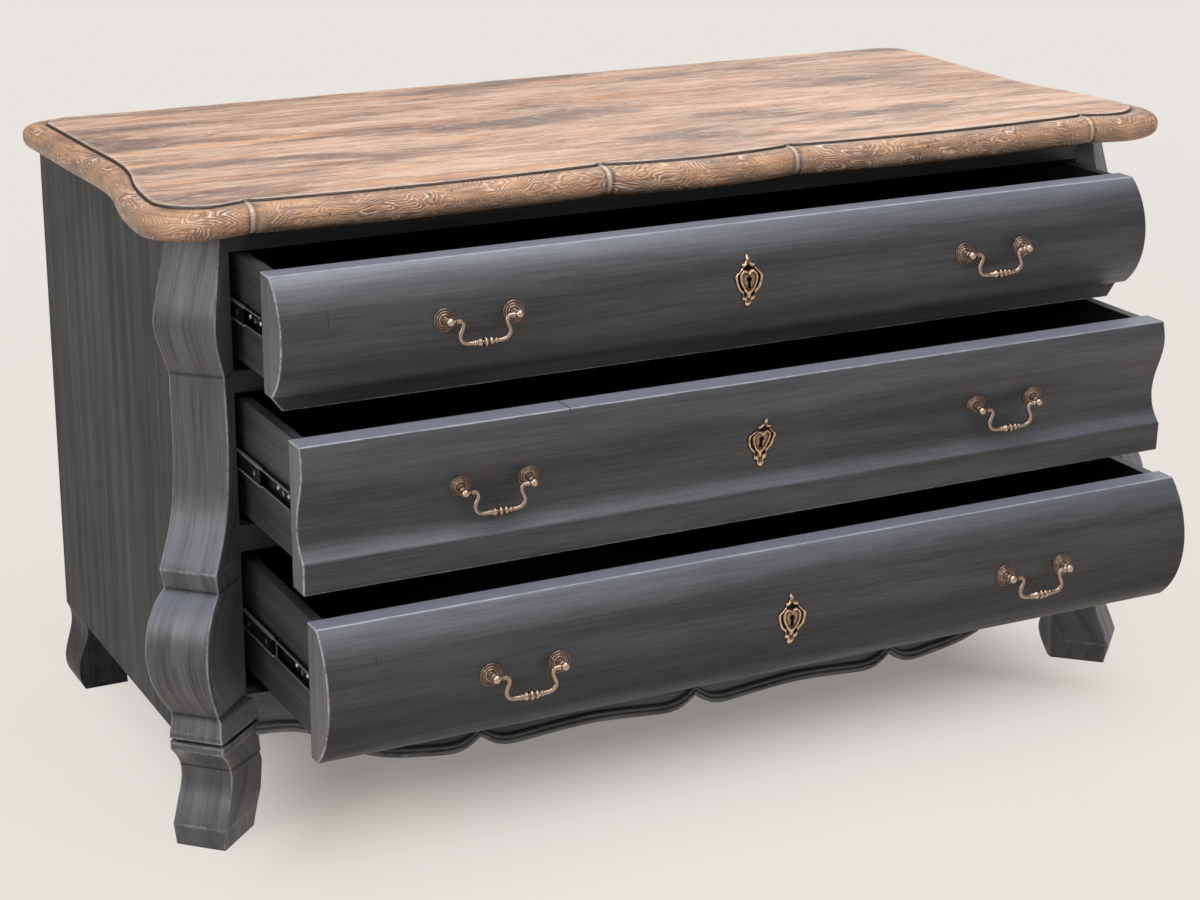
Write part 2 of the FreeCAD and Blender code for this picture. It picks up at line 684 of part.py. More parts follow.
def add_drawer(number, pulled, opening_top, top_gap, height, belly, side_height, handle_drop, plate_drop):
    name = "drawer_%d_" % number
    y = -shut_gap - pulled
    z_top = opening_top - top_gap
    profiles = {
        1: lambda: bulged_front(y, z_top, height, front_1_top_thickness, belly, front_1_low_thickness),
        2: lambda: waved_front(y, z_top, height, belly),
        3: lambda: bulged_front(y, z_top, height, front_3_top_thickness, belly, front_3_low_thickness)}
    profile = profiles[number]()
    front = front_solid(profile, y, z_top, height)
    plain_front = front.copy()
    if number == 1:
        front = front.fuse(drop_strip(y, z_top - height)).removeSplitter()

    # box: sides butt on the front, the bottom stands in grooves
    side_top = z_top - side_drop
    side_low = side_top - side_height
    inner_half = drawer_half_width - side_thickness
    bottom_z = side_low + box_bottom_height
    bottom_top = bottom_z + box_bottom_thickness
    groove_half = inner_half + groove_depth
    y_end = y + side_length
    bottom = block((-groove_half, groove_half), (y - groove_depth, y_end), (bottom_z, bottom_top))
    pieces[name + "bottom"] = bottom
    pieces[name + "back"] = block((-inner_half, inner_half), (y_end - side_thickness, y_end),
                                  (bottom_top, side_top))
    front = front.cut(bottom)

    # slides
    centre_z = (side_top + side_low) / 2
    add_case_slides(centre_z)
    middles = []
    runners = []
    fasteners = []
    for side, side_name in ((-1, "left_side"), (1, "right_side")):
        board = block((side * inner_half, side * drawer_half_width), (y, y_end), (side_low, side_top))
        board = board.cut(bottom)
        middles.append(channel(side * middle_web, side * channel_end, middle_slide_height,
                               middle_slide_front - pulled / 2, middle_slide_length, centre_z))
        runner_front = y + drawer_slide_gap
        runner = channel(side * drawer_half_width, side * drawer_flange, drawer_slide_height,
                         runner_front, drawer_slide_length, centre_z)
        for share in screw_place_shares:
            screw_y = runner_front + drawer_slide_length * share
            tip = Vec(side * (drawer_half_width - screw_depth), screw_y, centre_z)
            seat = Vec(side * (drawer_half_width + slide_wall), screw_y, centre_z)
            head = Vec(side * (drawer_half_width + slide_wall + screw_head_height), screw_y, centre_z)
            fasteners.append(rod(screw_radius, tip, seat).fuse(rod(screw_head_radius, seat, head)))
            hole = rod(screw_radius + stud_fit, tip, seat)
            board = board.cut(hole)
            runner = runner.cut(hole)
        runners.append(runner)
        pieces[name + side_name] = board
    pieces["middle_slides_%d" % number] = Part.makeCompound(middles)
    pieces[name + "slides"] = Part.makeCompound(runners)

    # handles stand square to the curved face
    handle_z = z_top - handle_drop
    surface = face_point(profile, y, handle_z, belly)
    above = face_point(profile, y, handle_z + stud_radius, belly)
    below = face_point(profile, y, handle_z - stud_radius, belly)
    along = above - below
    outward = Vec(0, -along.z, along.y).normalize()
    back_length = (y - surface.y) / -outward.y
    posts = []
    rosettes = []
    for side, side_name in ((-1, "left"), (1, "right")):
        for end in (-1, 1):
            foot = Vec(side * handle_half_spacing + end * handle_post_spacing / 2, surface.y, surface.z)
            post, recess_floor = handle_post(foot, outward, back_length)
            posts.append(post)
            rosettes.append(rosette(foot, outward, plain_front))
            fasteners.append(hex_nut(recess_floor, -outward))
            front = front.cut(rod(stud_radius + stud_fit, recess_floor, foot + outward * rosette_seat))
            front = front.cut(rod(nut_recess_radius, recess_floor,
                                  recess_floor - outward * (nut_recess_depth + overrun)))
        hinge = Vec(side * handle_half_spacing, surface.y, surface.z) + outward * ball_reach
        pieces["bail_%d_%s" % (number, side_name)] = bail(hinge)
        print("bail_%d_%s hinge" % (number, side_name), [round(v, 4) for v in hinge])
    pieces[name + "handle_posts"] = Part.makeCompound(posts)
    pieces[name + "handle_rosettes"] = Part.makeCompound(rosettes)

    # escutcheon with its two pins and the keyhole's recess
    plate_z = z_top - plate_drop
    plate_point = face_point(profile, y, plate_z, belly)
    plate = escutcheon(plate_point, plain_front)
    front = front.cut(keyhole(plate_point, plate_point.y - overrun, plate_point.y + keyhole_depth))
    for end in (-1, 1):
        pin_z = plate_z + end * escutcheon_half_height * pin_place_share
        skin = face_point(profile, y, pin_z, belly) - Vec(0, escutcheon_thickness, 0)
        shank = rod(pin_radius, skin, skin + Vec(0, pin_depth, 0))
        pin = shank.fuse(rod(pin_head_radius, skin - Vec(0, pin_head_height, 0), skin))
        pin = pin.cut(plate.cut(shank))
        pin_hole = rod(pin_radius + stud_fit, skin - Vec(0, overrun, 0), skin + Vec(0, pin_depth, 0))
        plate = plate.cut(pin_hole)
        front = front.cut(pin_hole)
        fasteners.append(pin)
    pieces[name + "escutcheon"] = plate
    pieces[name + "front"] = front
    pieces[name + "fasteners"] = Part.makeCompound(fasteners)


add_drawer(1, drawer_1_pulled, opening_1_top, front_1_top_gap, front_1_height, front_1_belly_thickness,
           side_1_height, handle_1_drop, escutcheon_1_drop)
add_drawer(2, drawer_2_pulled, opening_2_top, front_2_top_gap, front_2_height, front_2_thickness,
           side_2_height, handle_2_drop, escutcheon_2_drop)
add_drawer(3, drawer_3_pulled, opening_3_top, front_3_top_gap, front_3_height, front_3_belly_thickness,
           side_3_height, handle_3_drop, escutcheon_3_drop)
pieces["case_slides"] = Part.makeCompound(case_channels)
pieces["case_slide_screws"] = Part.makeCompound(case_screws)
pieces["slide_cleats"] = Part.makeCompound(cleats)


# Move the middle of the whole box's underside to the origin and write each piece

whole = FreeCAD.BoundBox()
for shape in pieces.values():
    whole.add(shape.optimalBoundingBox(False, False))
shift = Vec(-whole.Center.x, -whole.Center.y, -whole.ZMin)
os.makedirs("parts", exist_ok=True)
for name, shape in sorted(pieces.items()):
    shape.translate(shift)
    shape.exportStep("parts/%s.step" % name)
    print(name, len(shape.Solids), shape.isValid(), round(shape.Volume))
print("shift", [round(v, 4) for v in shift], "box", whole.XLength, whole.YLength, whole.ZLength)
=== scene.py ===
import math
import bmesh
import bpy
import numpy as np
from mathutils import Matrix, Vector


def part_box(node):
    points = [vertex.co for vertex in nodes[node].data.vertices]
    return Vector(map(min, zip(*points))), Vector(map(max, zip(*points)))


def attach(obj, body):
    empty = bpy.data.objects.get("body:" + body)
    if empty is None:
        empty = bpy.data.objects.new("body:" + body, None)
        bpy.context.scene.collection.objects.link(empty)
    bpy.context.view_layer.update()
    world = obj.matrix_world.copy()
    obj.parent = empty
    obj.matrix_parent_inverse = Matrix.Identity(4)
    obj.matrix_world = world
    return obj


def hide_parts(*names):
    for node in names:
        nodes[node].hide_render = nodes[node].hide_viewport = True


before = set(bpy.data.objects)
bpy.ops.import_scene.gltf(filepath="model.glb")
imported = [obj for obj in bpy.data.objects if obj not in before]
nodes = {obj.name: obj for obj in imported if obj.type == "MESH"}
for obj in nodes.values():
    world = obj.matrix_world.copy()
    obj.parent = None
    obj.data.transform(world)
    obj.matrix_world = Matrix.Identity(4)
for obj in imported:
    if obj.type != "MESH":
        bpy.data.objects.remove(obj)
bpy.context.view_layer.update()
print("stage: frame loaded,", len(nodes), "nodes")

# Sizes are in millimetres, measured from the plane of the drawer openings, the middle and the floor.
# The rear edge of the top lies topRear behind that plane, which gives the shift into the shared frame.
caseSizes = {"topRear": 606, "openingHalf": 622, "apronTop": 182, "caseTop": 780}
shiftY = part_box("top_board")[1][1] * 1000 - caseSizes["topRear"]


# Curves and meshes

join = np.concatenate


def length(vectors):
    return np.linalg.norm(vectors, axis=-1)


def lengthAlong(line):
    # distance run along the points of a line, or of several lines at once
    steps = length(np.diff(line, axis=-2))
    return join([np.zeros_like(steps[..., :1]), np.cumsum(steps, axis=-1)], axis=-1)


def unit(vectors):
    return vectors / np.maximum(length(vectors), 1e-6)[..., None]


def fullTurn(count):
    return np.linspace(0, 2 * np.pi, count, endpoint=False)


def columns(*parts):
    # points from their coordinates, which are arrays or single numbers
    return np.stack(np.broadcast_arrays(*parts), -1)


def nearness(far, reach):
    # 1 at no distance, falling off as a bell curve
    return np.exp(-(far / reach) ** 2)


def smoothCurve(points, count):
    # natural cubic through the points, spaced by their distances and read at even steps
    points = np.asarray(points, float)
    knots = lengthAlong(points)
    gaps, size = np.diff(knots), len(knots)
    slopes = np.diff(points, axis=0) / gaps[:, None]
    system, right = np.eye(size), np.zeros_like(points)
    k = np.arange(1, size - 1)
    system[k, k - 1], system[k, k], system[k, k + 1] = gaps[:-1], 2 * (gaps[:-1] + gaps[1:]), gaps[1:]
    right[1:-1] = 6 * np.diff(slopes, axis=0)
    bend = np.linalg.solve(system, right)
    at = np.linspace(0, knots[-1], count)
    i = np.clip(np.searchsorted(knots, at, "right") - 1, 0, size - 2)
    after, before, gap = (at - knots[i])[:, None], (knots[i + 1] - at)[:, None], gaps[i][:, None]
    cubic = (bend[i] * before ** 3 + bend[i + 1] * after ** 3) / (6 * gap)
    return (cubic + (points[i] / gap - bend[i] * gap / 6) * before
            + (points[i + 1] / gap - bend[i + 1] * gap / 6) * after)


def straight(start, end, count):
    return np.linspace(start, end, count)


def arcThrough(start, middle, end, shares):
    # circle through three points of a plane, read at the given shares of its angle
    a, b, c = complex(*start), complex(*middle), complex(*end)
    w = (c - a) / (b - a)
    centre = a - (a - b) * (w - abs(w) ** 2) / (2j * w.imag)
    sweep = np.angle((b - centre) / (a - centre)) + np.angle((c - centre) / (b - centre))
    points = centre + (a - centre) * np.exp(1j * sweep * shares)
    return columns(points.real, points.imag)


def cutEnds(line, cut):
    run = lengthAlong(line)
    at = np.linspace(cut, run[-1] - cut, len(line))
    return columns(*[np.interp(at, run, values) for values in line.T])


def cornerCurve(before, corner, after, u):
    # a parabola that rounds a corner
    return (1 - u) ** 2 * before + 2 * u * (1 - u) * corner + u ** 2 * after


def mirrored(half):
    # a half outline joined to its mirror image in X; the two points on the middle stay single
    return join([half, half[..., -2:0:-1, :] * (-1, 1)], axis=-2)


def atHeights(flat, heights):
    # rows of plane points, each row at its own height
    return columns(flat[..., 0], flat[..., 1], heights[:, None])


wearSheenFar = 1.7


def roundedLoop(lines, radius, arcCount=6):
    # closed loop of lines with each meeting corner replaced by a small parabola; the mark of wear and painted
    # highlight fades away from it
    trimmed = [cutEnds(line, radius) for line in lines]
    u = np.linspace(0, 1, arcCount)[1:-1, None]
    points, corners = [], []
    for here, after, line in zip(trimmed, trimmed[1:] + trimmed[:1], lines):
        points += [here, cornerCurve(here[-1], line[-1], after[0], u)]
        corners.append(line[-1])
    loop = join(points)
    far = length(loop[:, None] - np.array(corners)).min(axis=1)
    return loop, nearness(far, wearSheenFar)


def inwardNormals(loop):
    after = np.roll(loop, -1, 0)
    along = unit(after - np.roll(loop, 1, 0))
    area = np.sum(loop[:, 0] * after[:, 1] - after[:, 0] * loop[:, 1])
    return columns(-along[:, 1], along[:, 0]) * np.sign(area)


def gridFaces(rows, wide, closed):
    i, j = np.meshgrid(np.arange(rows - 1), np.arange(wide if closed else wide - 1), indexing="ij")
    k = (j + 1) % wide
    here, below = i * wide, (i + 1) * wide
    return columns(here + j, here + k, below + k, below + j).reshape(-1, 4)


def makePiece(name, grids, material, body, slotName, *replaced, crease=38):
    # a grid is (points, closed, values): points by row and column, values are named numbers per point
    places, faces, start = [], [], 0
    names = sorted({key for grid in grids for key in grid[2]})
    values = {key: [] for key in names}
    for points, closed, marks in grids:
        places.append(points.reshape(-1, 3))
        faces.append(gridFaces(points.shape[0], points.shape[1], closed) + start)
        start += points.shape[0] * points.shape[1]
        for key in names:
            values[key].append(np.broadcast_to(marks.get(key, 0), points.shape[:2]).ravel())
    mesh = bpy.data.meshes.new(name)
    shifted = (join(places) + (0, shiftY, 0)) * 0.001
    mesh.from_pydata(shifted.tolist(), [], join(faces).tolist())
    for key in names:
        layer = mesh.attributes.new(key, "FLOAT", "POINT")
        layer.data.foreach_set("value", join(values[key]).astype(np.float32))
    work = bmesh.new()
    work.from_mesh(mesh)
    bmesh.ops.remove_doubles(work, verts=work.verts, dist=2e-6)
    bmesh.ops.recalc_face_normals(work, faces=work.faces)
    work.to_mesh(mesh)
    work.free()
    mesh.shade_smooth()
    mesh.set_sharp_from_angle(angle=math.radians(crease))
    mesh.materials.append(material)
    piece = bpy.data.objects.new(name, mesh)
    bpy.context.scene.collection.objects.link(piece)
    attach(piece, body)
    if replaced:
        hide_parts(*replaced)
    return piece


def fanCap(row, centre):
    # one row of a closed grid drawn together to a point
    return np.stack(np.broadcast_arrays(row, centre))


def capped(points, marks, rows=(0, -1)):
    # a closed grid with a fan over the given rows
    caps = [fanCap(points[row], points[row].mean(0)) for row in rows]
    return [(points, True, marks)] + [(cap, True, {}) for cap in caps]


# Materials

def linear(red, green, blue):
    colour = np.array([red, green, blue]) / 255
    colour = np.where(colour <= 0.04045, colour / 12.92, ((colour + 0.055) / 1.055) ** 2.4)
    return (*colour.tolist(), 1)


class Shade:
    # a socket of a node tree that takes part in sums; make adds any other node
    def __init__(self, tree, socket=None):
        self.tree, self.socket = tree, socket

    def make(self, kind, inputs, output=0, **settings):
        node = self.tree.nodes.new("ShaderNode" + kind)
        for key, value in settings.items():
            setattr(node, key, value)
        for key, value in inputs.items():
            if isinstance(value, Shade):
                self.tree.links.new(value.socket, node.inputs[key])
            else:
                node.inputs[key].default_value = value
        return Shade(self.tree, node.outputs[output])

    def maths(self, operation, first, second=0):
        return self.make("Math", {0: first, 1: second}, operation=operation)

    def __add__(self, other): return self.maths("ADD", self, other)
    def __sub__(self, other): return self.maths("SUBTRACT", self, other)
    def __rsub__(self, other): return self.maths("SUBTRACT", other, self)
    def __mul__(self, other): return self.maths("MULTIPLY", self, other)
    def __truediv__(self, other): return self.maths("DIVIDE", self, other)

    def axis(self, index): return self.make("SeparateXYZ", {0: self}, index)
    def absolute(self): return self.maths("ABSOLUTE", self)
    def most(self, other): return self.maths("MAXIMUM", self, other)

    def stretch(self, scales):
        return self.make("VectorMath", {0: self, 1: scales}, operation="MULTIPLY")

    def grain(self, scales, detail=4, rough=0.55):
        return self.stretch(scales).noise(1, detail, rough)

    def noise(self, scale=1, detail=4, rough=0.55, twist=0):
        return self.make("TexNoise", {"Vector": self, "Scale": scale, "Detail": detail,
                                      "Roughness": rough, "Distortion": twist}, "Fac")

    def ramp(self, low, high, start=0, end=1):
        return self.make("MapRange", {0: self, 1: low, 2: high, 3: start, 4: end},
                         interpolation_type="SMOOTHSTEP")

    def mix(self, first, second):
        return self.make("Mix", {0: self, 6: first, 7: second}, 2, data_type="RGBA")

    def mark(self, name):
        return self.make("Attribute", {}, "Fac", attribute_name=name)

    def bump(self, strength, distance):
        return self.make("Bump", {"Strength": strength, "Distance": distance, "Height": self}, "Normal")


def newMaterial(name, **constants):
    material = bpy.data.materials.new(name)
    material.use_nodes = True
    surface = material.node_tree.nodes["Principled BSDF"]
    for key, value in constants.items():
        surface.inputs[key].default_value = value
    shade = Shade(material.node_tree)
    return material, shade, shade.make("TexCoord", {}, "Object")


def colours(look):
    return {key: linear(*value) for key, value in look.items() if isinstance(value, tuple)}


def connect(material, **sources):
    surface = material.node_tree.nodes["Principled BSDF"]
    for key, source in sources.items():
        material.node_tree.links.new(source.socket, surface.inputs[key.replace("_", " ")])
    return material


paintLook = {"dark": (40, 40, 41), "light": (69, 70, 73), "wornAndSheen": (157, 159, 165), "black": (24, 25, 29),
             "end": (100, 100, 103), "paintedHighlight": (119, 122, 132), "rough": 0.33, "roughSpread": 0.14,
             "bump": 0.16, "gloss": 0.5, "grimeShadeDepth": 0.7, "grimeShadeDull": 0.8, "nickHalf": 0.0014,
             "nickCore": 0.0005}


def greyPaint(name, fine, broad, insideFace=None, depth=1, gloss=1, span=(0.38, 0.7), follow=False, nicks=()):
    # brushed charcoal paint: two stretched noises give brush marks, a broad one gives cloudy patches; arrises
    # are paler, part wear and part painted highlight, parts marked lift get a painted highlight, creases and
    # marked bands a painted shade that also dulls the gloss, and faces turned into a drawer are black
    material, shade, place = newMaterial(name)
    look = colours(paintLook)
    end, dirt, inside = [shade.mark(key) for key in ("end", "dirt", "inside")]
    run = shade.make("CombineXYZ", {0: shade.mark("round"), 1: shade.mark("along")}) if follow else place
    strokes = run.grain(fine, 5, 0.65)
    strokes = strokes * (1 - end) + place.grain((90, 330, 4), 4, 0.6) * end
    bands = run.grain(broad, 3)
    bands = bands * (1 - end) + place.grain((20, 90, 1.2), 3) * end
    cloud = place.noise(scale=3.2, detail=3)
    tone = (strokes * 0.45 + bands * 0.4 + cloud * 0.2).ramp(*span)
    dark, light = [linear(*[c * depth for c in paintLook[key]]) for key in ("dark", "light")]
    colour = (end * (tone * 0.6 + 0.5)).mix(tone.mix(dark, light), look["end"])
    # painted highlight: parts marked lift are mixed towards a pale bluish tone
    paintedHighlight = (shade.mark("lift") * (strokes * 0.5 + bands * 0.5 + 0.5)).ramp(0.1, 1.1)
    colour = paintedHighlight.mix(colour, look["paintedHighlight"])
    # painted shade: the marked creases and bands are darkened towards black; the same mark also dulls the gloss
    colour = (dirt * paintLook["grimeShadeDepth"]).mix(colour, look["black"])
    shine = (1 - dirt * paintLook["grimeShadeDull"]) * (paintLook["gloss"] * gloss)
    broken = (run.stretch(fine).noise(scale=0.6, detail=4) + place.noise(scale=60)).ramp(0.7, 1.2)
    # the arrises are paler, part wear and part a painted highlight
    wornAndSheen = (shade.mark("wear") * (broken * 0.6 + 0.4)).ramp(0.1, 1)
    colour = wornAndSheen.mix(colour, look["wornAndSheen"])
    for x, z, half in nicks:
        aside = (place.axis(0) - x).absolute().ramp(paintLook["nickHalf"], paintLook["nickCore"])
        above = (place.axis(2) - z).absolute().ramp(half, half * 0.6)
        colour = (aside * above * 0.8).mix(colour, look["black"])
    if insideFace:
        inside = shade.maths("LESS_THAN", place.axis(0).absolute(), insideFace)
    colour = inside.mix(colour, look["black"])
    rough = tone * -paintLook["roughSpread"] + (paintLook["rough"] + paintLook["roughSpread"])
    relief = (strokes * 0.7 + bands * 0.3).bump(paintLook["bump"], 0.0012)
    return connect(material, Base_Color=colour, Roughness=rough, Specular_IOR_Level=shine, Normal=relief)


# nicks as (x, z, half height); each paint has the stretch of its fine and its broad brush marks
nicks = [(-0.559, 0.696, 0.009), (-0.273, 0.565, 0.005), (-0.5555, 0.316, 0.006)]
acrossFine, acrossBroad = (13, 400, 400), (3, 42, 42)
paintAcross = greyPaint("grey_paint_across", acrossFine, acrossBroad, nicks=nicks)
# a paler copy of the paint, painted light for the apron and its bead, which lie in shade
paintLowLit = greyPaint("grey_paint_low_lit", acrossFine, acrossBroad, depth=1.35)
paintUp = greyPaint("grey_paint_up", (380, 11, 1), (46, 3, 1), depth=1.25, span=(0.4, 0.64),
                    follow=True)
# a darker, less glossy copy of the paint, painted shade for the sides; the rear legs and the back panel share it
paintSideShaded = greyPaint("grey_paint_side_shaded", (300, 300, 6), (42, 42, 1.8), depth=0.86, gloss=0.12)
paintDeep = greyPaint("grey_paint_deep", (300, 5, 300), (60, 1.6, 60), insideFace=0.5985)

woodLook = {"pale": (214, 182, 160), "brown": (160, 124, 102), "grey": (126, 103, 91),
            "orange": (206, 150, 110), "deep": (76, 57, 47), "ceruseAndSheen": (232, 212, 194),
            "edgeTan": (194, 150, 117), "edgeGrey": (118, 97, 83), "groove": (58, 48, 43), "board": 0.113,
            "ring": 38, "fold": 5}


def contourLines(pattern, count):
    # lines of equal height of a smooth pattern, running from 0 to 1 and back
    return pattern.maths("PINGPONG", pattern * count, 0.5) * 2


def weatheredWood(name):
    # streaks of three widths along X over a slightly wavy grain, with grey and orange patches, grain loops,
    # short dark checks and pale scratches; on the rolled edge the cut rings show as loops of fine lines
    material, shade, place = newMaterial(name)
    look = colours(woodLook)
    wave = place.noise(scale=2.6, detail=2) * 0.04 + place.noise(scale=11, detail=2) * 0.012
    moved = shade.make("VectorMath", {0: place, 1: shade.make("CombineXYZ", {1: wave})}, operation="ADD")
    other = shade.make("VectorMath", {0: moved, 1: (4.3, 1.7, 0.6)}, operation="ADD")
    broad = moved.grain((3.6, 30, 30), 6, 0.66)
    streak = moved.grain((14, 150, 150), 4, 0.65)
    fibre = moved.grain((26, 620, 620), 3, 0.6)
    colour = (broad * 0.5 + streak * 0.4 + fibre * 0.15).ramp(0.42, 0.62).mix(look["brown"], look["pale"])
    patch = moved.grain((3.2, 15, 15), 6, 0.62) - place.axis(0) * 0.08
    colour = (patch.ramp(0.47, 0.63) * (streak * 0.9 + 0.4)).mix(colour, look["grey"])
    warm = other.grain((2.4, 36, 36), 4, 0.6)
    colour = (warm.ramp(0.54, 0.66) * 0.6).mix(colour, look["orange"])
    loops = contourLines(moved.grain((1.6, 11, 11), 1.5, 0.4), 22)
    colour = (loops.ramp(0.3, 0) * patch.ramp(0.4, 0.58) * 0.5).mix(colour, look["deep"])
    seam = contourLines(place.axis(1), 1 / woodLook["board"])
    checks = other.grain((24, 330, 330), 2).ramp(0.66, 0.73) * 0.75
    checks = checks.most(seam.ramp(0.022, 0.008) * streak.ramp(0.4, 0.6) * 0.6)
    colour = checks.mix(colour, look["deep"])
    scratch = other.stretch((40, 150, 150)).noise(detail=4, twist=1.6).ramp(0.6, 0.69) * 0.65
    colour = scratch.mix(colour, look["ceruseAndSheen"])
    edge = shade.mark("edge")
    rise = place.axis(2).ramp(0.783, 0.81)
    cloud = place.grain((14, 14, 30), 4, 0.6)
    edgeColour = (rise * 0.5 + cloud.ramp(0.38, 0.62) * 0.5).mix(look["edgeGrey"], look["edgeTan"])
    edgeColour = (warm.ramp(0.5, 0.7) * 0.5).mix(edgeColour, look["orange"])
    bend = shade.mark("fold") * woodLook["fold"]
    ring = contourLines(place.grain((9, 9, 24), 3, 0.42) + bend / woodLook["ring"],
                        woodLook["ring"])
    shown = place.stretch((11, 11, 18)).noise(scale=1.3, detail=3).ramp(0.4, 0.62) * 0.8 + 0.2
    thread = place.grain((16, 16, 420), 3, 0.6)
    split = place.grain((70, 70, 90), 2).ramp(0.4, 0.56)
    edgeColour = (thread.ramp(0.48, 0.64) * 0.45).mix(edgeColour, look["deep"])
    edgeColour = (ring.ramp(0.68, 0.92) * split * shown * 0.9).mix(edgeColour, look["ceruseAndSheen"])
    edgeColour = (ring.ramp(0.36, 0.1) * shown * 0.62).mix(edgeColour, look["deep"])
    colour = edge.mix(colour, edgeColour)
    cell = {"Vector": place, "Scale": 62}
    holes = shade.make("TexVoronoi", cell, "Distance").ramp(0.12, 0.06)
    holes = holes * shade.make("TexVoronoi", cell, "Color").ramp(0.6, 0.63) * (edge * 0.85 + 0.05)
    # painted shade in the groove and beside each crease's ridge; the wormholes are dark of themselves
    dark = shade.mark("groove").most(holes.most(shade.mark("crease") * 0.75))
    colour = dark.mix(colour, look["groove"])
    # painted highlight: the rim of the field and the ridge of each crease are mixed towards the pale tone
    light = shade.mark("rim") * (streak.ramp(0.4, 0.6) * 0.4 + 0.25)
    colour = light.most(shade.mark("slit") * 0.5).mix(colour, look["ceruseAndSheen"])
    rough = streak * 0.3 + 0.42 - edge * 0.14
    height = fibre * 0.3 + streak * 0.4 + edge * ring - dark * 0.7 - checks * 0.8 + scratch * 0.3
    return connect(material, Base_Color=colour, Roughness=rough, Normal=height.bump(0.5, 0.0016))


topWood = weatheredWood("weathered_top_wood")

bronzeLook = {"bright": (198, 172, 154), "dark": (76, 61, 54), "patinaAndShadeTint": (34, 28, 25), "rough": 0.2}
giltLook = {"bright": (232, 198, 164), "dark": (122, 91, 68), "patinaAndShadeTint": (12, 10, 9), "rough": 0.18}


def antiqueBronze(name, look):
    # cast metal: the raised parts are rubbed bright, the hollows keep a brown-black patina; on the bails the
    # front is a painted highlight and the side turned away a painted shade, and round the escutcheons the dark
    # outline is a painted shadow
    material, shade, place = newMaterial(name, Metallic=0.9)
    tints = colours(look)
    mottle = place.noise(scale=260, detail=4, rough=0.6)
    rubbedAndLit = (mottle * 0.3 + shade.mark("raised") * 0.6).ramp(0.15, 0.8)
    colour = shade.mark("hollow").mix(rubbedAndLit.mix(tints["dark"], tints["bright"]), tints["patinaAndShadeTint"])
    # painted shade: the keyhole slip is near black, standing in for the hole
    colour = shade.mark("keyhole").mix(colour, linear(2, 2, 2))
    rough = mottle * 0.2 + look["rough"]
    return connect(material, Base_Color=colour, Roughness=rough, Normal=mottle.bump(0.07, 0.0006))


bronze = antiqueBronze("antique_bronze", bronzeLook)
gilt = antiqueBronze("gilt_bronze", giltLook)

darkLook = {"inside": (24, 25, 29), "slide": (15, 15, 16), "steel": (176, 174, 168)}


def blackInside(name):
    material, _, place = newMaterial(name)
    grain = place.grain((6, 6, 200))
    dark, light = [linear(*[c + more for c in darkLook["inside"]]) for more in (0, 9)]
    colour = grain.ramp(0.35, 0.7).mix(dark, light)
    return connect(material, Base_Color=colour, Roughness=grain * 0.3 + 0.5, Normal=grain.bump(0.15, 0.001))


def slideMetal(name, colour, metallic, rough, lips=None, pins=None):
    # rolled strip: fine draw lines along the slide; lips are given as the middle, half height and outer face;
    # nearer the middle of the drawer than pins, the metal is gilt
    material, _, place = newMaterial(name, Metallic=metallic)
    lines = place.grain((900, 8, 900), 3)
    dark, light = [linear(*[min(255, c * share) for c in colour]) for share in (0.7, 1.5)]
    tone = lines.ramp(0.3, 0.75).mix(dark, light)
    if pins:
        tone = place.axis(0).absolute().ramp(pins + 0.01, pins).mix(tone, linear(*giltLook["dark"]))
    if lips:
        middle, half, outer = lips
        bright = (place.axis(2) - middle).absolute().ramp(half - 0.0014, half - 0.0008)
        bright = bright * place.axis(0).absolute().ramp(outer - 0.0022, outer - 0.0012)
        tone = (bright * 0.85).mix(tone, linear(*darkLook["steel"]))
    return connect(material, Base_Color=tone, Roughness=lines * 0.25 + rough, Normal=lines.bump(0.1, 0.0003))


insideBlack = blackInside("black_inside")
slideBlack = slideMetal("slide_black_metal", darkLook["slide"], 0.7, 0.22)
screwSteel = slideMetal("screw_bright_steel", darkLook["steel"], 1, 0.2, pins=0.1)


def finishNodes(material, *names):
    for name in names:
        for entry in nodes[name].material_slots:
            entry.material = material


finishNodes(paintSideShaded, "left_side_panel", "right_side_panel", "left_rear_leg", "right_rear_leg", "back_panel")
finishNodes(paintAcross, "top_front_rail", "upper_drawer_rail", "lower_drawer_rail")
finishNodes(paintLowLit, "apron")
finishNodes(insideBlack, "bottom_panel", "top_rear_rail", "bottom_rear_rail", "slide_cleats")
finishNodes(slideBlack, "case_slides")
finishNodes(screwSteel, "case_slide_screws")
for number in (1, 2, 3):
    finishNodes(paintDeep, f"drawer_{number}_left_side", f"drawer_{number}_right_side")
    finishNodes(insideBlack, f"drawer_{number}_back", f"drawer_{number}_bottom")
    slideLow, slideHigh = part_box(f"drawer_{number}_slides")
    lips = ((slideLow[2] + slideHigh[2]) / 2, (slideHigh[2] - slideLow[2]) / 2, slideHigh[0])
    finishNodes(slideMetal(f"slide_lipped_{number}", darkLook["slide"], 0.7, 0.22, lips),
                f"drawer_{number}_slides", f"middle_slides_{number}")
    finishNodes(screwSteel, f"drawer_{number}_fasteners")
print("stage: materials")


# Top board

topSizes = {"half": 738, "front": -72, "rear": 606, "low": 780, "thick": 40, "cusp": 16,
            "cuspHalf": 137, "outerCusp": 607, "frontCorner": 66, "rearCorner": 35, "waist": 30,
            "roll": 25, "rollPower": 2.5, "rollHigh": 36.6, "pinch": 7, "pinchHalf": 6, "ridgeHalf": 2.2,
            "creaseAt": 4, "creaseHalf": 1.5, "foldFar": 34, "sweepPower": 1.7, "spineHalf": 440,
            "spineAt": 267}
topWaist = [(0, 0), (.06, .08), (.2, .42), (.3, .8), (.4, 1), (.6, .92), (.85, .76), (1, .66)]
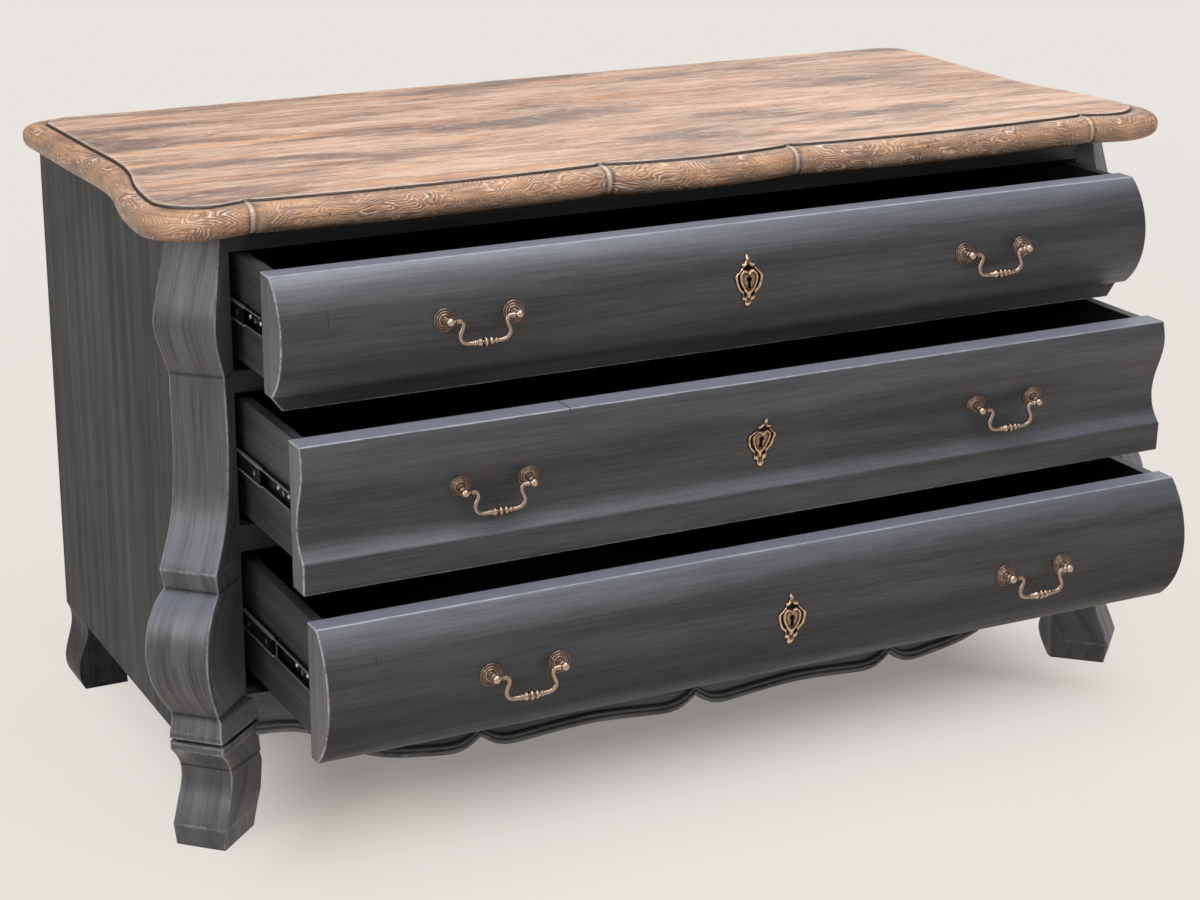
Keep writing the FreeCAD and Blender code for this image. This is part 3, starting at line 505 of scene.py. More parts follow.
# the step from the roll up to the flat field, as (inset, height below the top, groove mark, field mark); the
# groove mark carries a painted shade
topStep = [(26.2, 4.2, 1, 0), (27.4, 4.2, 1, 0), (27.9, 1, 0.9, 0.4), (28.8, 0, 0, 1),
           (31, 0, 0, 1), (36, 0, 0, 1), (48, 0, 0, 1)]
# how strong the painted highlight on the rim of the field is, and how far a crease reaches in, both by inset
topRimHighlight = [(28, 0), (28.8, 1), (31, 0.35), (36, 0)]
topHold = [(25, 1), (29, 0.7), (36, 0)]
# creases of the front edge: the place along the right half of the outline and the strength
topCreases = [(45, 1), (134, 0.85), (212, 0.25)]


def topOutline(inset):
    # right half of the outline from the front middle to the rear middle, drawn in by inset, as in the part
    size, diagonal = topSizes, 1 - math.sqrt(0.5)
    side, front, rear = size["half"] - inset, size["front"] + inset, size["rear"] - inset
    cusp, ear, heel = front + size["cusp"], front + size["frontCorner"], rear - size["rearCorner"]
    inner, outer, corner = size["cuspHalf"], size["outerCusp"], side - size["frontCorner"]
    turn, quarter, back = size["frontCorner"] * diagonal, size["cusp"] / 4, size["rearCorner"]
    swing = 0.5 + 0.5 * np.sin(np.linspace(0, np.pi / 2, 46))
    crowd = (1 - np.cos(np.linspace(0, np.pi, 90))) / 2
    sweep = np.linspace(0, 1, 40)[:, None] ** size["sweepPower"]
    flank = [(side - size["waist"] * draw, ear + (heel - ear) * along) for along, draw in topWaist]
    end = flank[-1][0]
    parts = [arcThrough((-inner, cusp), (0, front), (inner, cusp), swing),
             arcThrough((inner, cusp), ((inner + outer) / 2, front + quarter), (outer, cusp), crowd),
             sweep * (corner - outer, quarter - size["cusp"]) + (outer, cusp),
             arcThrough((corner, front + quarter), (side - turn, front + turn), (side, ear),
                        np.linspace(0, 1, 40)),
             smoothCurve(flank, 110),
             arcThrough(flank[-1], (end - back * diagonal, rear - back * diagonal), (end - back, rear),
                        np.linspace(0, 1, 20)),
             straight((end - back, rear), (0, rear), 24)]
    return join([parts[0]] + [part[1:] for part in parts[1:]])


def topBoard():
    # the edge is a half superellipse from the underside to a small step; the flat field is drawn to the middle
    size = topSizes
    angle = np.linspace(-np.pi / 2, np.pi / 2, 33)
    power = 2 / size["rollPower"]
    out = np.abs(np.cos(angle)) ** power * size["roll"]
    up = np.sign(np.sin(angle)) * np.abs(np.sin(angle)) ** power * size["rollHigh"] / 2
    top = size["low"] + size["thick"]
    stepIn, stepDown, stepGroove, stepField = np.array(topStep).T
    insets = join([size["roll"] - out, stepIn])
    levels = join([size["low"] + size["rollHigh"] / 2 + up, top - stepDown])
    edge = join([np.ones(len(out)), 1 - stepField])
    groove = join([np.zeros(len(out) - 1), [0.4], stepGroove])
    rim, hold = [np.interp(insets, *np.array(table).T) for table in (topRimHighlight, topHold)]
    half = np.stack([topOutline(inset) for inset in insets])
    run = lengthAlong(half[len(out) // 2])
    notch, ridge, crease, fold = np.zeros((4, len(run)))
    for index, strength in topCreases:
        far = np.abs(run - run[index])
        crest = strength * nearness(far, size["ridgeHalf"])
        notch = np.maximum(notch, strength * nearness(far, size["pinchHalf"]) - 0.5 * crest)
        ridge = np.maximum(ridge, crest)
        crease = np.maximum(crease, strength * nearness(far - size["creaseAt"], size["creaseHalf"]))
        fold = np.maximum(fold, strength * np.exp(-far / size["foldFar"]))
    along = unit(np.gradient(half[0], axis=0))
    inward = columns(-along[:, 1], along[:, 0])
    half = half + (notch[:, None] * inward)[None] * hold[:, None, None] * size["pinch"]
    points = atHeights(mirrored(half), levels)

    def centreLine(row, z):
        # the middle segment of the board, which every point of a row is drawn to
        spine = np.clip(row[:, 0], -size["spineHalf"], size["spineHalf"])
        return columns(spine, size["spineAt"], z)[None]

    rows = join([centreLine(points[0], size["low"]), points, centreLine(points[-1], top)])

    def mark(down, along=None):
        # a mark by row, and by place along the outline if given
        down = join([[0], down, [0]])[:, None]
        return down if along is None else down * join([along, along[-2:0:-1]])[None]

    # the ridge of each crease is marked for a painted highlight and one side of it for a painted shade
    marks = {"edge": mark(edge), "groove": mark(groove), "rim": mark(rim), "slit": mark(edge, ridge),
             "crease": mark(edge, crease), "fold": mark(edge, fold)}
    makePiece("top_shaped_board", [(rows, True, marks)], topWood, "case", "top_wood", "top_board", crease=60)


topBoard()
print("stage: top")


# Front posts

postSizes = {"reach": 112, "width": 75, "innerDepth": 70, "panelLow": 106, "arris": 3.2,
             "sideSwell": 0.07, "cheek": 22, "cheekBack": 8, "tuck": 6, "toeHigh": 30, "toeSwell": 0.35,
             "quirk": 4.5, "quirkLow": 145.5, "quirkHigh": 152.5, "quirkReach": 0.8, "wearSheenFar": 2.4,
             "ridgeFar": 3, "grimeShadeFar": 2.2, "innerPaintedLight": 0.45, "innerPaintedLightLow": 150}
postBulge = [(1, .19), (.866, .357), (.813, .411), (.749, .339), (.701, .214)]
postWaist = [(.701, .214), (.649, .205), (.532, .196), (.498, .214), (.398, .339), (.339, .536),
             (.306, .67)]
postBelly = [(.264, .625), (.235, .79), (.197, .93), (.139, 1), (.08, .964), (.03, .848), (0, .768)]
footBlock = [(1, .768), (.879, .84), (.835, .84), (.835, .768), (.802, .768), (.802, .83), (.747, .83)]
footFront = [(.747, .83), (.64, .66), (.505, .571), (.33, .65), (.165, .75)]
footInner = [(0, -.05), (.2, -.21), (.42, -.08)]
footToe, footKnee = 0.69, 0.03
# how far the outer arris, the front arris and the inner corner swell beyond the plank, by height
postSwell = [(0, -8, 0, 3), (30, -8, 2, 9), (55, -10, 4, 15), (92, -12, 5, 18), (136, -14, 7, 14),
             (150, -14, 7, 16), (165, -15, 5, 12), (180, -15, 3, 9), (182, -14, 0, 0), (205, -5, 0, 0),
             (230, 0, 0, 0), (265, 4, 0, 0), (300, 4, 0, 0), (325, 2, 0, 0), (340, -4, 0, 0),
             (366, -1, 0, 0), (450, 1, 0, 0), (540, 2, 0, 0), (601, 1, 0, 0), (635, 3, 0, 0),
             (668, 8, 0, 0), (710, 5, 0, 0), (780, -5, 0, 0)]


def postProfile():
    # the front line of the post from the top to the floor as (height, reach), and the foot's inner line
    low, reach = caseSizes["apronTop"], postSizes["reach"]
    span = caseSizes["caseTop"] - low
    bulge, waist, belly = [np.array([(low + span * h, reach * r) for h, r in shares])
                           for shares in (postBulge, postWaist, postBelly)]
    block, front, inner, toe = [np.array([(low * h, reach * r) for h, r in shares])
                                for shares in (footBlock, footFront, footInner, [(0, footToe)])]
    lines = [smoothCurve(bulge, 50), smoothCurve(waist, 60), straight(waist[-1], belly[0], 8)]
    lines += [smoothCurve(belly, 50)] + [straight(a, b, 5) for a, b in zip(block, block[1:])]
    lines += [smoothCurve(front, 46), straight(front[-1], toe[0], 8)]
    knee = np.array([(postSizes["panelLow"], reach * footKnee)])
    outline = join([lines[0]] + [line[1:] for line in lines[1:]])
    return outline, smoothCurve(join([inner, knee]), 60)


def frontPost(side):
    # every height of the front line carries a six-cornered section, its two front arrises rounded
    size, width = postSizes, postSizes["width"]
    profile, footLine = postProfile()
    cut = int(np.argmax(profile[:, 0] < size["panelLow"]))
    above, below = profile[cut - 1], profile[cut]
    ledge = above + (above[0] - size["panelLow"]) / (above[0] - below[0]) * (below - above)
    profile = join([profile[:cut], [ledge, ledge], profile[cut:]])
    height, reach = profile.T
    depth = np.interp(height, *footLine.T)
    depth[:cut + 1] = -size["innerDepth"]
    quirk = (height > size["quirkLow"]) & (height < size["quirkHigh"])
    quirk = size["quirk"] * (quirk & (reach < size["quirkReach"] * size["reach"]))
    swell = size["sideSwell"] * (reach - size["cheek"]) - quirk
    swell = swell * np.interp(height, [0, size["toeHigh"]], [size["toeSwell"], 1])
    swellAt, *swells = np.array(postSwell, float).T
    outerBy, frontBy, innerBy = [np.interp(height, swellAt, by) for by in swells]
    tuck = np.clip(-outerBy, 0, size["tuck"]) * (height < caseSizes["apronTop"])
    cheekReach = np.maximum(np.minimum(reach - size["cheekBack"], size["cheek"]), depth + 1)
    outer = columns(reach, -width - outerBy + quirk)
    cheek = columns(cheekReach, -width + tuck)
    front = columns(reach, swell + frontBy)
    inner = columns(np.maximum(depth, 0), innerBy - quirk)
    innerRear = columns(depth, np.minimum(depth, 0))
    outerRear = columns(depth, -width)

    def arris(before, corner, after):
        first, last = [corner + unit(other - corner) * size["arris"] for other in (before, after)]
        return list(cornerCurve(first, corner, last, np.linspace(0, 1, 7)[:, None, None]))

    def between(start, end, shares):
        return [start + (end - start) * share for share in shares]

    outerArris, frontArris = arris(cheek, outer, front), arris(outer, front, inner)
    line = [outerRear, cheek] + between(cheek, outerArris[0], (0.2, 0.4, 0.6, 0.8, 0.9, 0.96))
    arrisAt = len(line) + len(outerArris) // 2
    line += outerArris
    line += between(outerArris[-1], frontArris[0], (0.04, 0.1, 0.2, 0.35, 0.5, 0.65, 0.8, 0.9, 0.96))
    line += frontArris + between(frontArris[-1], inner, (0.04, 0.1, 0.2, 0.4, 0.6, 0.8)) + [inner, innerRear]
    section = np.stack(line, axis=1)
    girth = lengthAlong(section)
    girth = (girth - girth[:, arrisAt:arrisAt + 1]) * 0.001
    near = np.minimum(*[length(section - corner[:, None]) for corner in (outer, front)])
    step = np.diff(profile, axis=0)
    bearing = np.unwrap(np.arctan2(step[:, 1], -step[:, 0]))
    turn = np.zeros(len(height))
    turn[1:-1] = np.where(length(step[1:]) > 1e-6, np.diff(bearing), 0)
    run = lengthAlong(profile)

    def atTurns(strength, far):
        # a mark where the front line turns, fading along it
        return np.max(nearness(run[:, None] - run[None], far) * np.clip(strength, 0, 1)[None], axis=1)[:, None]

    shown = section[:, :, 0] > 5
    # arrises and ridges are paler, part wear and part a painted highlight
    wear = np.maximum(nearness(near, size["wearSheenFar"]), 0.6 * atTurns(turn * -1.6, size["ridgeFar"]) * shown)
    # painted shade where the front line turns inward, darkening the crease
    dirt = atTurns(turn * 1.8, size["grimeShadeFar"]) * shown
    # painted highlight: faces leaning up, and the inner face above its low mark, are marked to be paler
    lean = np.clip(unit(np.gradient(profile, axis=0))[:, 1], 0, 1)
    lean = np.convolve(np.pad(lean, 2, mode="edge"), np.full(5, 0.2), "valid")
    lift = lean[:, None] * (section[:, :, 0] > reach[:, None] - 12)
    innerFace, innerPaintedLight = slice(-8, -1), size["innerPaintedLight"] * (height > size["innerPaintedLightLow"])
    lift[:, innerFace] = np.maximum(lift[:, innerFace], innerPaintedLight[:, None])
    outward, across = np.array([[-1, -1], [1, -1]]) * math.sqrt(0.5)
    origin = np.array([-caseSizes["openingHalf"], 0])
    flat = origin + section[..., :1] * outward + section[..., 1:] * across
    points = atHeights(flat, height) * (side, 1, 1)

    def heart(row):
        # a point inside the section of a row
        centre = origin + 0.5 * (reach[row] + max(depth[row], -20)) * outward - 50 * across
        return np.array([centre[0] * side, centre[1], height[row]])

    marks = {"wear": wear, "lift": lift, "dirt": dirt, "round": girth, "along": run[:, None] * 0.001}
    grids = [(points, True, marks)] + [(fanCap(points[row], heart(row)), True, {}) for row in (0, -1)]
    name = "left" if side > 0 else "right"
    makePiece(f"{name}_front_post_carved", grids, paintUp, "case", "grey_paint", f"{name}_front_post",
              crease=18)


frontPost(1)
frontPost(-1)
print("stage: posts")


# Drawer fronts

frontSizes = {"half": 619, "arris": 2, "backGap": 0.5, "stripHigh": 22, "stripThick": 12,
              "stripMitre": 18, "stripInto": 2.5, "stripShort": 0.6, "stripArris": 1.2}
# the band, between two shares of a face's height, is where its paint gets a painted light (paler) or a painted
# shade (darker)
drawers = {1: {"pulled": 101, "top": 750, "high": 148, "arc": (30, 65, 26), "handle": 682,
               "plate": 682, "band": (0.6, 0.9), "paler": 0.6, "darker": 0},
           2: {"pulled": 179, "top": 567, "high": 182, "wave": 41, "handle": 487,
               "plate": 483, "band": (0.55, 0.2), "paler": 0.33, "darker": 0},
           3: {"pulled": 223, "top": 357, "high": 173, "arc": (30, 64, 19), "handle": 276,
               "plate": 272, "band": (0.4, 0.8), "paler": 0, "darker": 0.85}}
waveShares = [(0, .88), (.14, 1), (.34, .76), (.57, .49), (.7, .63), (.79, .95)]
waveLow = 0.9


def frontCurve(number):
    # the show face as (y, z) from its top edge to its lower edge
    drawer = drawers[number]
    y, top, high = -frontSizes["backGap"] - drawer["pulled"], drawer["top"], drawer["high"]
    if "arc" in drawer:
        a, b, c = drawer["arc"]
        return arcThrough((y - a, top), (y - b, top - high / 2), (y - c, top - high), np.linspace(0, 1, 81)), y
    thick = drawer["wave"]
    upper = smoothCurve([(y - thick * out, top - high * down) for down, out in waveShares], 66)
    return join([upper, straight(upper[-1], (y - thick * waveLow, top - high), 16)[1:]]), y


def endStations(half, radius):
    # distances from both ends: a quarter round, then wider steps; with the inset that rounds the end
    angle = np.linspace(0, np.pi / 2, 6)
    wider = np.array([2, 4, 7, 12, 20, 40, 90, 180, 320, 460])
    far = join([radius * (1 - np.cos(angle)), radius + wider])
    inset = join([radius * (1 - np.sin(angle)), np.zeros(len(wider))])
    x = join([-half + far, [0], half - far[::-1]])
    return x, join([inset, [0], inset[::-1]]), join([far, [half], far[::-1]])


def barGrids(lines, half, radius, mitre=None):
    # a closed profile run along X; opposite points of the profile close its ends
    loop, wear = roundedLoop(lines, radius)
    arc, front, flat = 4, len(lines[0]), len(lines[1])
    back = front + flat + 2 * arc
    inside = np.zeros(len(loop))
    inside[back:back + front] = 1
    start = back + front + arc + flat // 2
    loop, wear, inside = [np.roll(values, -start, 0) for values in (loop, wear, inside)]
    inward = inwardNormals(loop)
    x, inset, far = endStations(half, radius)
    shaped = loop[None] + inward[None] * inset[:, None, None]
    wide = x[:, None]
    if mitre:
        low, high = loop[:, 1].min(), loop[:, 1].max()
        wide = wide * (1 - mitre / half * (high - shaped[..., 1]) / (high - low))
    points = columns(wide, shaped[..., 0], shaped[..., 1])
    # arrises and ends are paler, part wear and part a painted highlight
    wornAndSheen = np.maximum(wear[None], nearness(far, wearSheenFar)[:, None]) * (1 - inside * 0.9)
    # painted highlight: the upward-facing part of the profile is marked to be paler
    lift = np.clip(-inward[:, 1], 0, 1) ** 1.6 * (1 - inside)
    grids = [(points, True, {"wear": wornAndSheen, "inside": inside, "lift": lift})]
    count = len(loop) // 2
    rimMarks = {"wear": np.array([[0.9], [0.1]]), "end": np.array([[0], [1]])}
    for row in (0, -1):
        rim = points[row] + columns(0, *inward.T) * 1.2
        pair = np.stack([rim[:count], rim[::-1][:count]], axis=1)
        grids += [(np.stack([points[row], rim]), True, rimMarks), (pair, False, {"end": 1})]
    return grids


def onDrawer(number, name, grids, material, slotName, *replaced, crease=38):
    drawer = f"drawer_{number}"
    makePiece(f"{drawer}_{name}", grids, material, drawer, slotName, *[f"{drawer}_{node}" for node in replaced],
              crease=crease)


def boxLines(front, y, count):
    # the closed profile behind a front line, back to the plane y
    top, low = front[0], front[-1]
    backTop, backLow = (y, top[1]), (y, low[1])
    return [front, straight(low, backLow, count), straight(backLow, backTop, len(front)),
            straight(backTop, top, count)]


def drawerFront(number):
    drawer, size = drawers[number], frontSizes
    curve, y = frontCurve(number)
    top, low = curve[0, 1], curve[-1, 1]
    grids = barGrids(boxLines(curve, y, 12), size["half"], size["arris"])
    points, _, marks = grids[0]
    first, last = drawer["band"]
    down = (top - points[..., 2]) / (top - low)
    # painted light and painted shade: the band is made paler on drawers 1 and 2 and darker on drawer 3
    band = np.clip((down - first) / (last - first), 0, 1) * (1 - marks["inside"])
    marks["lift"] = np.maximum(marks["lift"], band * drawer["paler"])
    marks["dirt"] = band * drawer["darker"]
    if number == 1:
        face, upper = y - size["stripThick"], low + size["stripInto"]
        strip = straight((face, upper), (face, low - size["stripHigh"]), 20)
        grids += barGrids(boxLines(strip, y, 8), size["half"] - size["stripShort"], size["stripArris"],
                          size["stripMitre"])
    onDrawer(number, "shaped_front", grids, paintAcross, "grey_paint", "front", crease=50)


for number in drawers:
    drawerFront(number)
print("stage: drawer fronts")


# Rivets of the slides and a retaining strap

rivetSizes = {"radius": 3.4, "high": 1.8, "behind": (20, 57), "strapAt": 112, "strapHalf": 2.2,
              "strapThick": 0.8, "strapShort": 1.6, "middleHigh": 0.2, "middleBehind": (21, 86), "sideGap": 10.5,
              "wall": 1.2}


def rivetDomes(web, side, places, middle, high):
    # domes turned about X, on the outer face of a channel's web
    angle = np.linspace(0, np.pi / 2, 7)
    dome = columns(rivetSizes["radius"] * np.cos(angle), high * np.sin(angle))
    dome = join([[(rivetSizes["radius"], -0.4)], dome])
    turn = fullTurn(20)
    grids = []
    for y in places:
        points = columns(side * (web + dome[:, 1:]), y + dome[:, :1] * np.cos(turn),
                         middle + dome[:, :1] * np.sin(turn))
        grids += capped(points, {}, (0,))
    return grids


def slideBox(name):
    return [np.array(corner) * 1000 - (0, shiftY, 0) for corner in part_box(name)]


def slideRivets(number):
    # domes on the webs of the drawer's and the middle channels, and a plain strap from lip to lip
    size = rivetSizes
    low, high = slideBox(f"drawer_{number}_slides")
    middleLow, middleHigh = slideBox(f"middle_slides_{number}")
    back = -frontSizes["backGap"] - drawers[number]["pulled"]
    middle, strapEnd = (low[2] + high[2]) / 2, (high[2] - low[2]) / 2 - size["strapShort"]
    web = caseSizes["openingHalf"] - size["sideGap"] + size["wall"]
    y, wide, thick = back + size["strapAt"], size["strapHalf"], size["strapThick"]
    grids, middleGrids = [], []
    for side in (-1, 1):
        grids += rivetDomes(web, side, [back + far for far in size["behind"]], middle, size["high"])
        places = [middleLow[1] + far for far in size["middleBehind"]]
        middleGrids += rivetDomes(middleHigh[0], side, places, middle, size["middleHigh"])
        inner, outer = side * (high[0] - thick), side * high[0]
        ring = [(inner, y - wide), (inner, y + wide), (outer, y + wide), (outer, y - wide)]
        grids += capped(atHeights(np.array([ring, ring]), middle + np.array([-strapEnd, strapEnd])), {})
    makePiece(f"slide_middle_{number}_rivets", middleGrids, screwSteel, f"slide_middle_{number}", "screw_steel")
    onDrawer(number, "slide_rivets", grids, screwSteel, "screw_steel")


for number in drawers:
    slideRivets(number)
print("stage: slides")


# Handles: rosettes, posts and bails

handleSizes = {"x": 369, "half": 45, "reach": 17, "ball": 5.4, "wire": 2.8, "pin": 2, "pinEnd": 49.6}
rosetteProfile = [(14.5, -3), (14.5, 0.7), (14.2, 1.5), (13.4, 1.9), (12.6, 1.5), (12.1, 1),
                  (11.6, 1.1), (11, 2), (10.3, 2.4), (9.6, 2.1), (9.1, 1.5), (8.6, 1.6), (8, 2.6),
                  (7.2, 3.1), (6.4, 2.9), (5.9, 2.3), (5.4, 2.4), (4.9, 3.1), (4.2, 3.4), (3.4, 3.4),
                  (2.2, 3.4)]
postShape = [(2, -2), (3.4, 2.8), (4.9, 3.4), (5.2, 4.2), (4.6, 5), (3.4, 5.5), (3, 7),
             (3.1, 8.6), (3.9, 9.6), (4.3, 10.3), (3.9, 11)]
bailPath = [(38.2, 0), (34.4, 0), (30.6, -0.9), (28.6, -4.4), (29.4, -9.6), (31.8, -15),
            (32.6, -20), (30.6, -24.8), (25.6, -27.9), (19, -28.8), (9, -28.8), (0, -28.8)]
# thickness added near the wire's ends, by x, and the beads' radius by distance from the middle
bailNeck = [(34.5, 0), (37, 0.5), (37.8, 0.9), (38.15, 0.2), (38.3, 0)]
beadShape = [(0, 6), (0.9, 5.9), (2, 5), (2.8, 3.4), (3.3, 2.8), (3.9, 2.7), (4.6, 3.2),
             (5.2, 4.3), (6.2, 5.1), (7.4, 5.2), (8.8, 4.5), (10.4, 3.6), (11.6, 3), (12.2, 2.9),
             (12.9, 3.6), (13.8, 4), (14.7, 3.6), (15.4, 2.9), (17, 2.8)]


def faceAt(number, z):
    # y of the show face at a height
    curve, _ = frontCurve(number)
    return np.interp(-z, -curve[:, 1], curve[:, 0])


def facePoint(number, z):
    # a point of the show face at a height, with its outward direction
    step = faceAt(number, z - 0.5) - faceAt(number, z + 0.5)
    return np.array([0, faceAt(number, z), z]), unit(np.array([0, -1, -step]))


def turned(profile, base, outward, sides):
    # a profile of (radius, height) turned about the outward direction
    profile = np.asarray(profile, float)
    angle = fullTurn(sides)
    first = np.array([1, 0, 0])
    second = np.cross(outward, first)
    ring = np.cos(angle)[:, None] * first + np.sin(angle)[:, None] * second
    return base + profile[:, None, :1] * ring[None] + profile[:, None, 1:] * outward


def turnedSet(number, name, profile, marks, sides, capRows, replaced):
    # the same turned piece at the four feet of a drawer's handles
    point, outward = facePoint(number, drawers[number]["handle"])
    grids = []
    for middle in (-handleSizes["x"], handleSizes["x"]):
        for end in (-handleSizes["half"], handleSizes["half"]):
            base = point + (middle + end, 0, 0)
            grids += capped(turned(profile, base, outward, sides), marks, capRows)
    onDrawer(number, name, grids, bronze, "bronze", replaced)


def rosettes(number):
    profile = smoothCurve(rosetteProfile, 90)
    radius, high = profile.T
    raised = np.interp(high, [1, 3.2], [0, 1])
    hollow = np.clip(1 - np.abs(np.gradient(high, lengthAlong(profile))) * 3, 0, 1) * (high < 2.45)
    hollow = np.maximum(hollow, np.interp(radius, [5, 6.5], [1.3, 0])) * (high > 0.8)
    marks = {"raised": (raised * 0.4 + 0.3)[:, None], "hollow": (hollow * 0.6)[:, None]}
    turnedSet(number, "turned_rosettes", profile, marks, 48, (0, -1), "handle_rosettes")


def handlePosts(number):
    angle, ball = np.linspace(-0.98, np.pi / 2, 26), handleSizes["ball"]
    head = columns(ball * np.cos(angle), handleSizes["reach"] + ball * np.sin(angle))
    profile = join([smoothCurve(postShape, 40), head])
    marks = {"raised": np.interp(profile[:, 1], [3, 12, 22], [0.3, 0.4, 1])[:, None]}
    turnedSet(number, "turned_posts", profile, marks, 28, (0,), "handle_posts")


def bail(number, side):
    # a round wire along a swan-neck line in the hanging plane, thickened to turned beads at the bottom
    point, outward = facePoint(number, drawers[number]["handle"])
    hinge = point + outward * handleSizes["reach"] + (side * handleSizes["x"], 0, 0)
    wireEnd = bailPath[0][0]
    pin = columns(np.linspace(handleSizes["pinEnd"], wireEnd + 0.1, 10), 0)
    half = join([pin, smoothCurve(bailPath, 150)])
    along = lengthAlong(half)
    fromMiddle = along[-1] - along
    bead = np.array(beadShape)
    neck = np.interp(half[:, 0], *np.array(bailNeck).T) * (half[:, 1] > -1.5)
    radius = np.where(fromMiddle > bead[-1, 0], handleSizes["wire"] + neck, np.interp(fromMiddle, *bead.T))
    radius = np.where(half[:, 0] > wireEnd + 0.05, handleSizes["pin"], radius)
    line = join([half, half[-2::-1] * (-1, 1)])
    radius = join([radius, radius[-2::-1]])
    direction = unit(np.gradient(line, axis=0))
    angle = fullTurn(20)
    inPlane, outOf = radius[:, None] * np.cos(angle), radius[:, None] * np.sin(angle)
    points = hinge + columns(line[:, :1] - inPlane * direction[:, 1:], outOf,
                             line[:, 1:] + inPlane * direction[:, :1])
    slope = np.abs(np.gradient(radius, lengthAlong(line)))
    # painted shade: the side of the wire turned towards the drawer is marked darker and less rubbed, the front
    # paler
    behind = np.clip(0.2 + np.sin(angle) * 0.8 - np.cos(angle) * 0.5 * np.sign(direction[:, :1]), 0, 0.8)
    marks = {"raised": np.interp(radius, [2.5, 4.5], [0.6, 1])[:, None] * (1 - behind * 0.7),
             "hollow": np.maximum((np.clip(slope - 0.4, 0, 0.6) * (radius > 2.2))[:, None], behind * 0.8)}
    name = f"bail_{number}_left" if side < 0 else f"bail_{number}_right"
    makePiece(f"{name}_swan", capped(points, marks), bronze, name, "bronze",
              *[node for node in nodes if node.startswith(name)])


for number in drawers:
    rosettes(number)
    handlePosts(number)
    bail(number, -1)
    bail(number, 1)
print("stage: handles")


# Escutcheons

plateSizes = {"half": 20, "high": 35, "hole": 3.5, "slotHalf": 2.6, "slotLow": -9, "holeAt": 3,
              "holeMiddle": -1, "holeLift": 1.75, "boss": 3.4, "bossAt": -20, "bossHigh": 2.9, "lobes": 7}
plateShares = [(0, -1), (.14, -.96), (.22, -.84), (.1, -.77), (.28, -.74), (.46, -.67), (.4, -.52),
               (.66, -.35), (.88, -.15), (.95, 0), (1, .14), (.97, .26), (.86, .32), (.74, .36),
               (.58, .46), (.42, .56), (.44, .66), (.3, .66), (.2, .72), (.06, .8), (.12, .9), (0, 1)]
heartShares = [(0, -.44), (.14, -.4), (.34, -.27), (.5, -.08), (.58, .1), (.54, .28), (.4, .37),
               (.22, .36), (0, .24)]

# rings from the outline (0) by the heart (1) to the middle (2), as (place, height, waviness, rub or patina); the
# dark rings at the outline are a painted shadow round the plate
plateLifts = [(0, -2.5, 0, -1), (0, .7, 0, -.8), (.05, 1.6, .3, .3), (.13, 2.5, .9, 1), (.28, 2.6, .9, 1),
              (.4, 1.9, .5, .5), (.5, .8, 0, -1), (.78, .7, 0, -1), (.88, 1.6, 0, .3), (.96, 2.6, 0, 1),
              (1.06, 2.7, 0, 1), (1.14, 2, 0, .2), (1.2, 1.1, 0, -.9), (1.3, 1.2, 0, .2), (1.5, 1.35, 0, .4),
              (1.75, 1.35, 0, .4), (2, 1.3, 0, .3)]


def closedHalf(shares, count):
    # a half outline from its lower tip to its top, joined to its mirror image
    return mirrored(smoothCurve(np.array(shares) * (plateSizes["half"], plateSizes["high"]), count))


def onFace(number, flat, lift):
    # plane points about the plate's middle, laid on the show face and lifted off it
    z = flat[..., 1] + drawers[number]["plate"]
    return columns(flat[..., 0], faceAt(number, z) - lift, z)


def escutcheon(number):
    # rings between the cartouche outline, the heart and the keyhole, lifted to rims and hollows
    size = plateSizes
    outline, heart = closedHalf(plateShares, 120), closedHalf(heartShares, 120)
    centre = np.array([0, size["holeAt"]])
    ripple = np.cos(fullTurn(len(outline)) * size["lobes"]) ** 2
    rings, heights, raised, hollow = [], [], [], []
    for place, lift, wavy, rub in plateLifts:
        ring = outline + (heart - outline) * place if place <= 1 else heart + (centre - heart) * (place - 1)
        boss = np.hypot(ring[:, 0], ring[:, 1] - size["bossAt"]) / size["boss"]
        boss = np.exp(-boss ** 4) * (place > 0.1)
        height = lift + wavy * 0.7 * (ripple - 0.5)
        rings.append(ring)
        heights.append(height + np.maximum(size["bossHigh"] - height, 0) * boss)
        raised.append(np.maximum(max(rub, 0) * (0.7 + 0.3 * ripple), boss * 0.8))
        hollow.append(max(-rub, 0) * (1 - boss))
    points = onFace(number, np.stack(rings), np.stack(heights))
    grids = capped(points, {"raised": np.stack(raised), "hollow": np.stack(hollow)}, (0,)) + keyhole(number)
    onDrawer(number, "cast_escutcheon", grids, gilt, "bronze", "escutcheon", crease=70)


def keyhole(number):
    # a thin dark slip in the form of a keyhole, a round head over a widening slot, just above the plate's floor;
    # it is painted shade standing in for the hole
    size = plateSizes
    angle = np.linspace(-0.33 * np.pi, 1.33 * np.pi, 40)
    head = columns(size["hole"] * np.cos(angle), size["holeAt"] + size["hole"] * np.sin(angle))
    loop = join([head, [(-size["slotHalf"], size["slotLow"]), (size["slotHalf"], size["slotLow"])]])
    middle = np.array([0, size["holeMiddle"]])
    points = np.stack([onFace(number, middle + (loop - middle) * share, lift)
                       for share, lift in ((1, 0.2), (1, size["holeLift"]), (0, size["holeLift"]))])
    return [(grid, closed, {"keyhole": 1}) for grid, closed, _ in capped(points, {}, (0,))]


for number in drawers:
    escutcheon(number)
print("stage: escutcheons")


# Apron bead

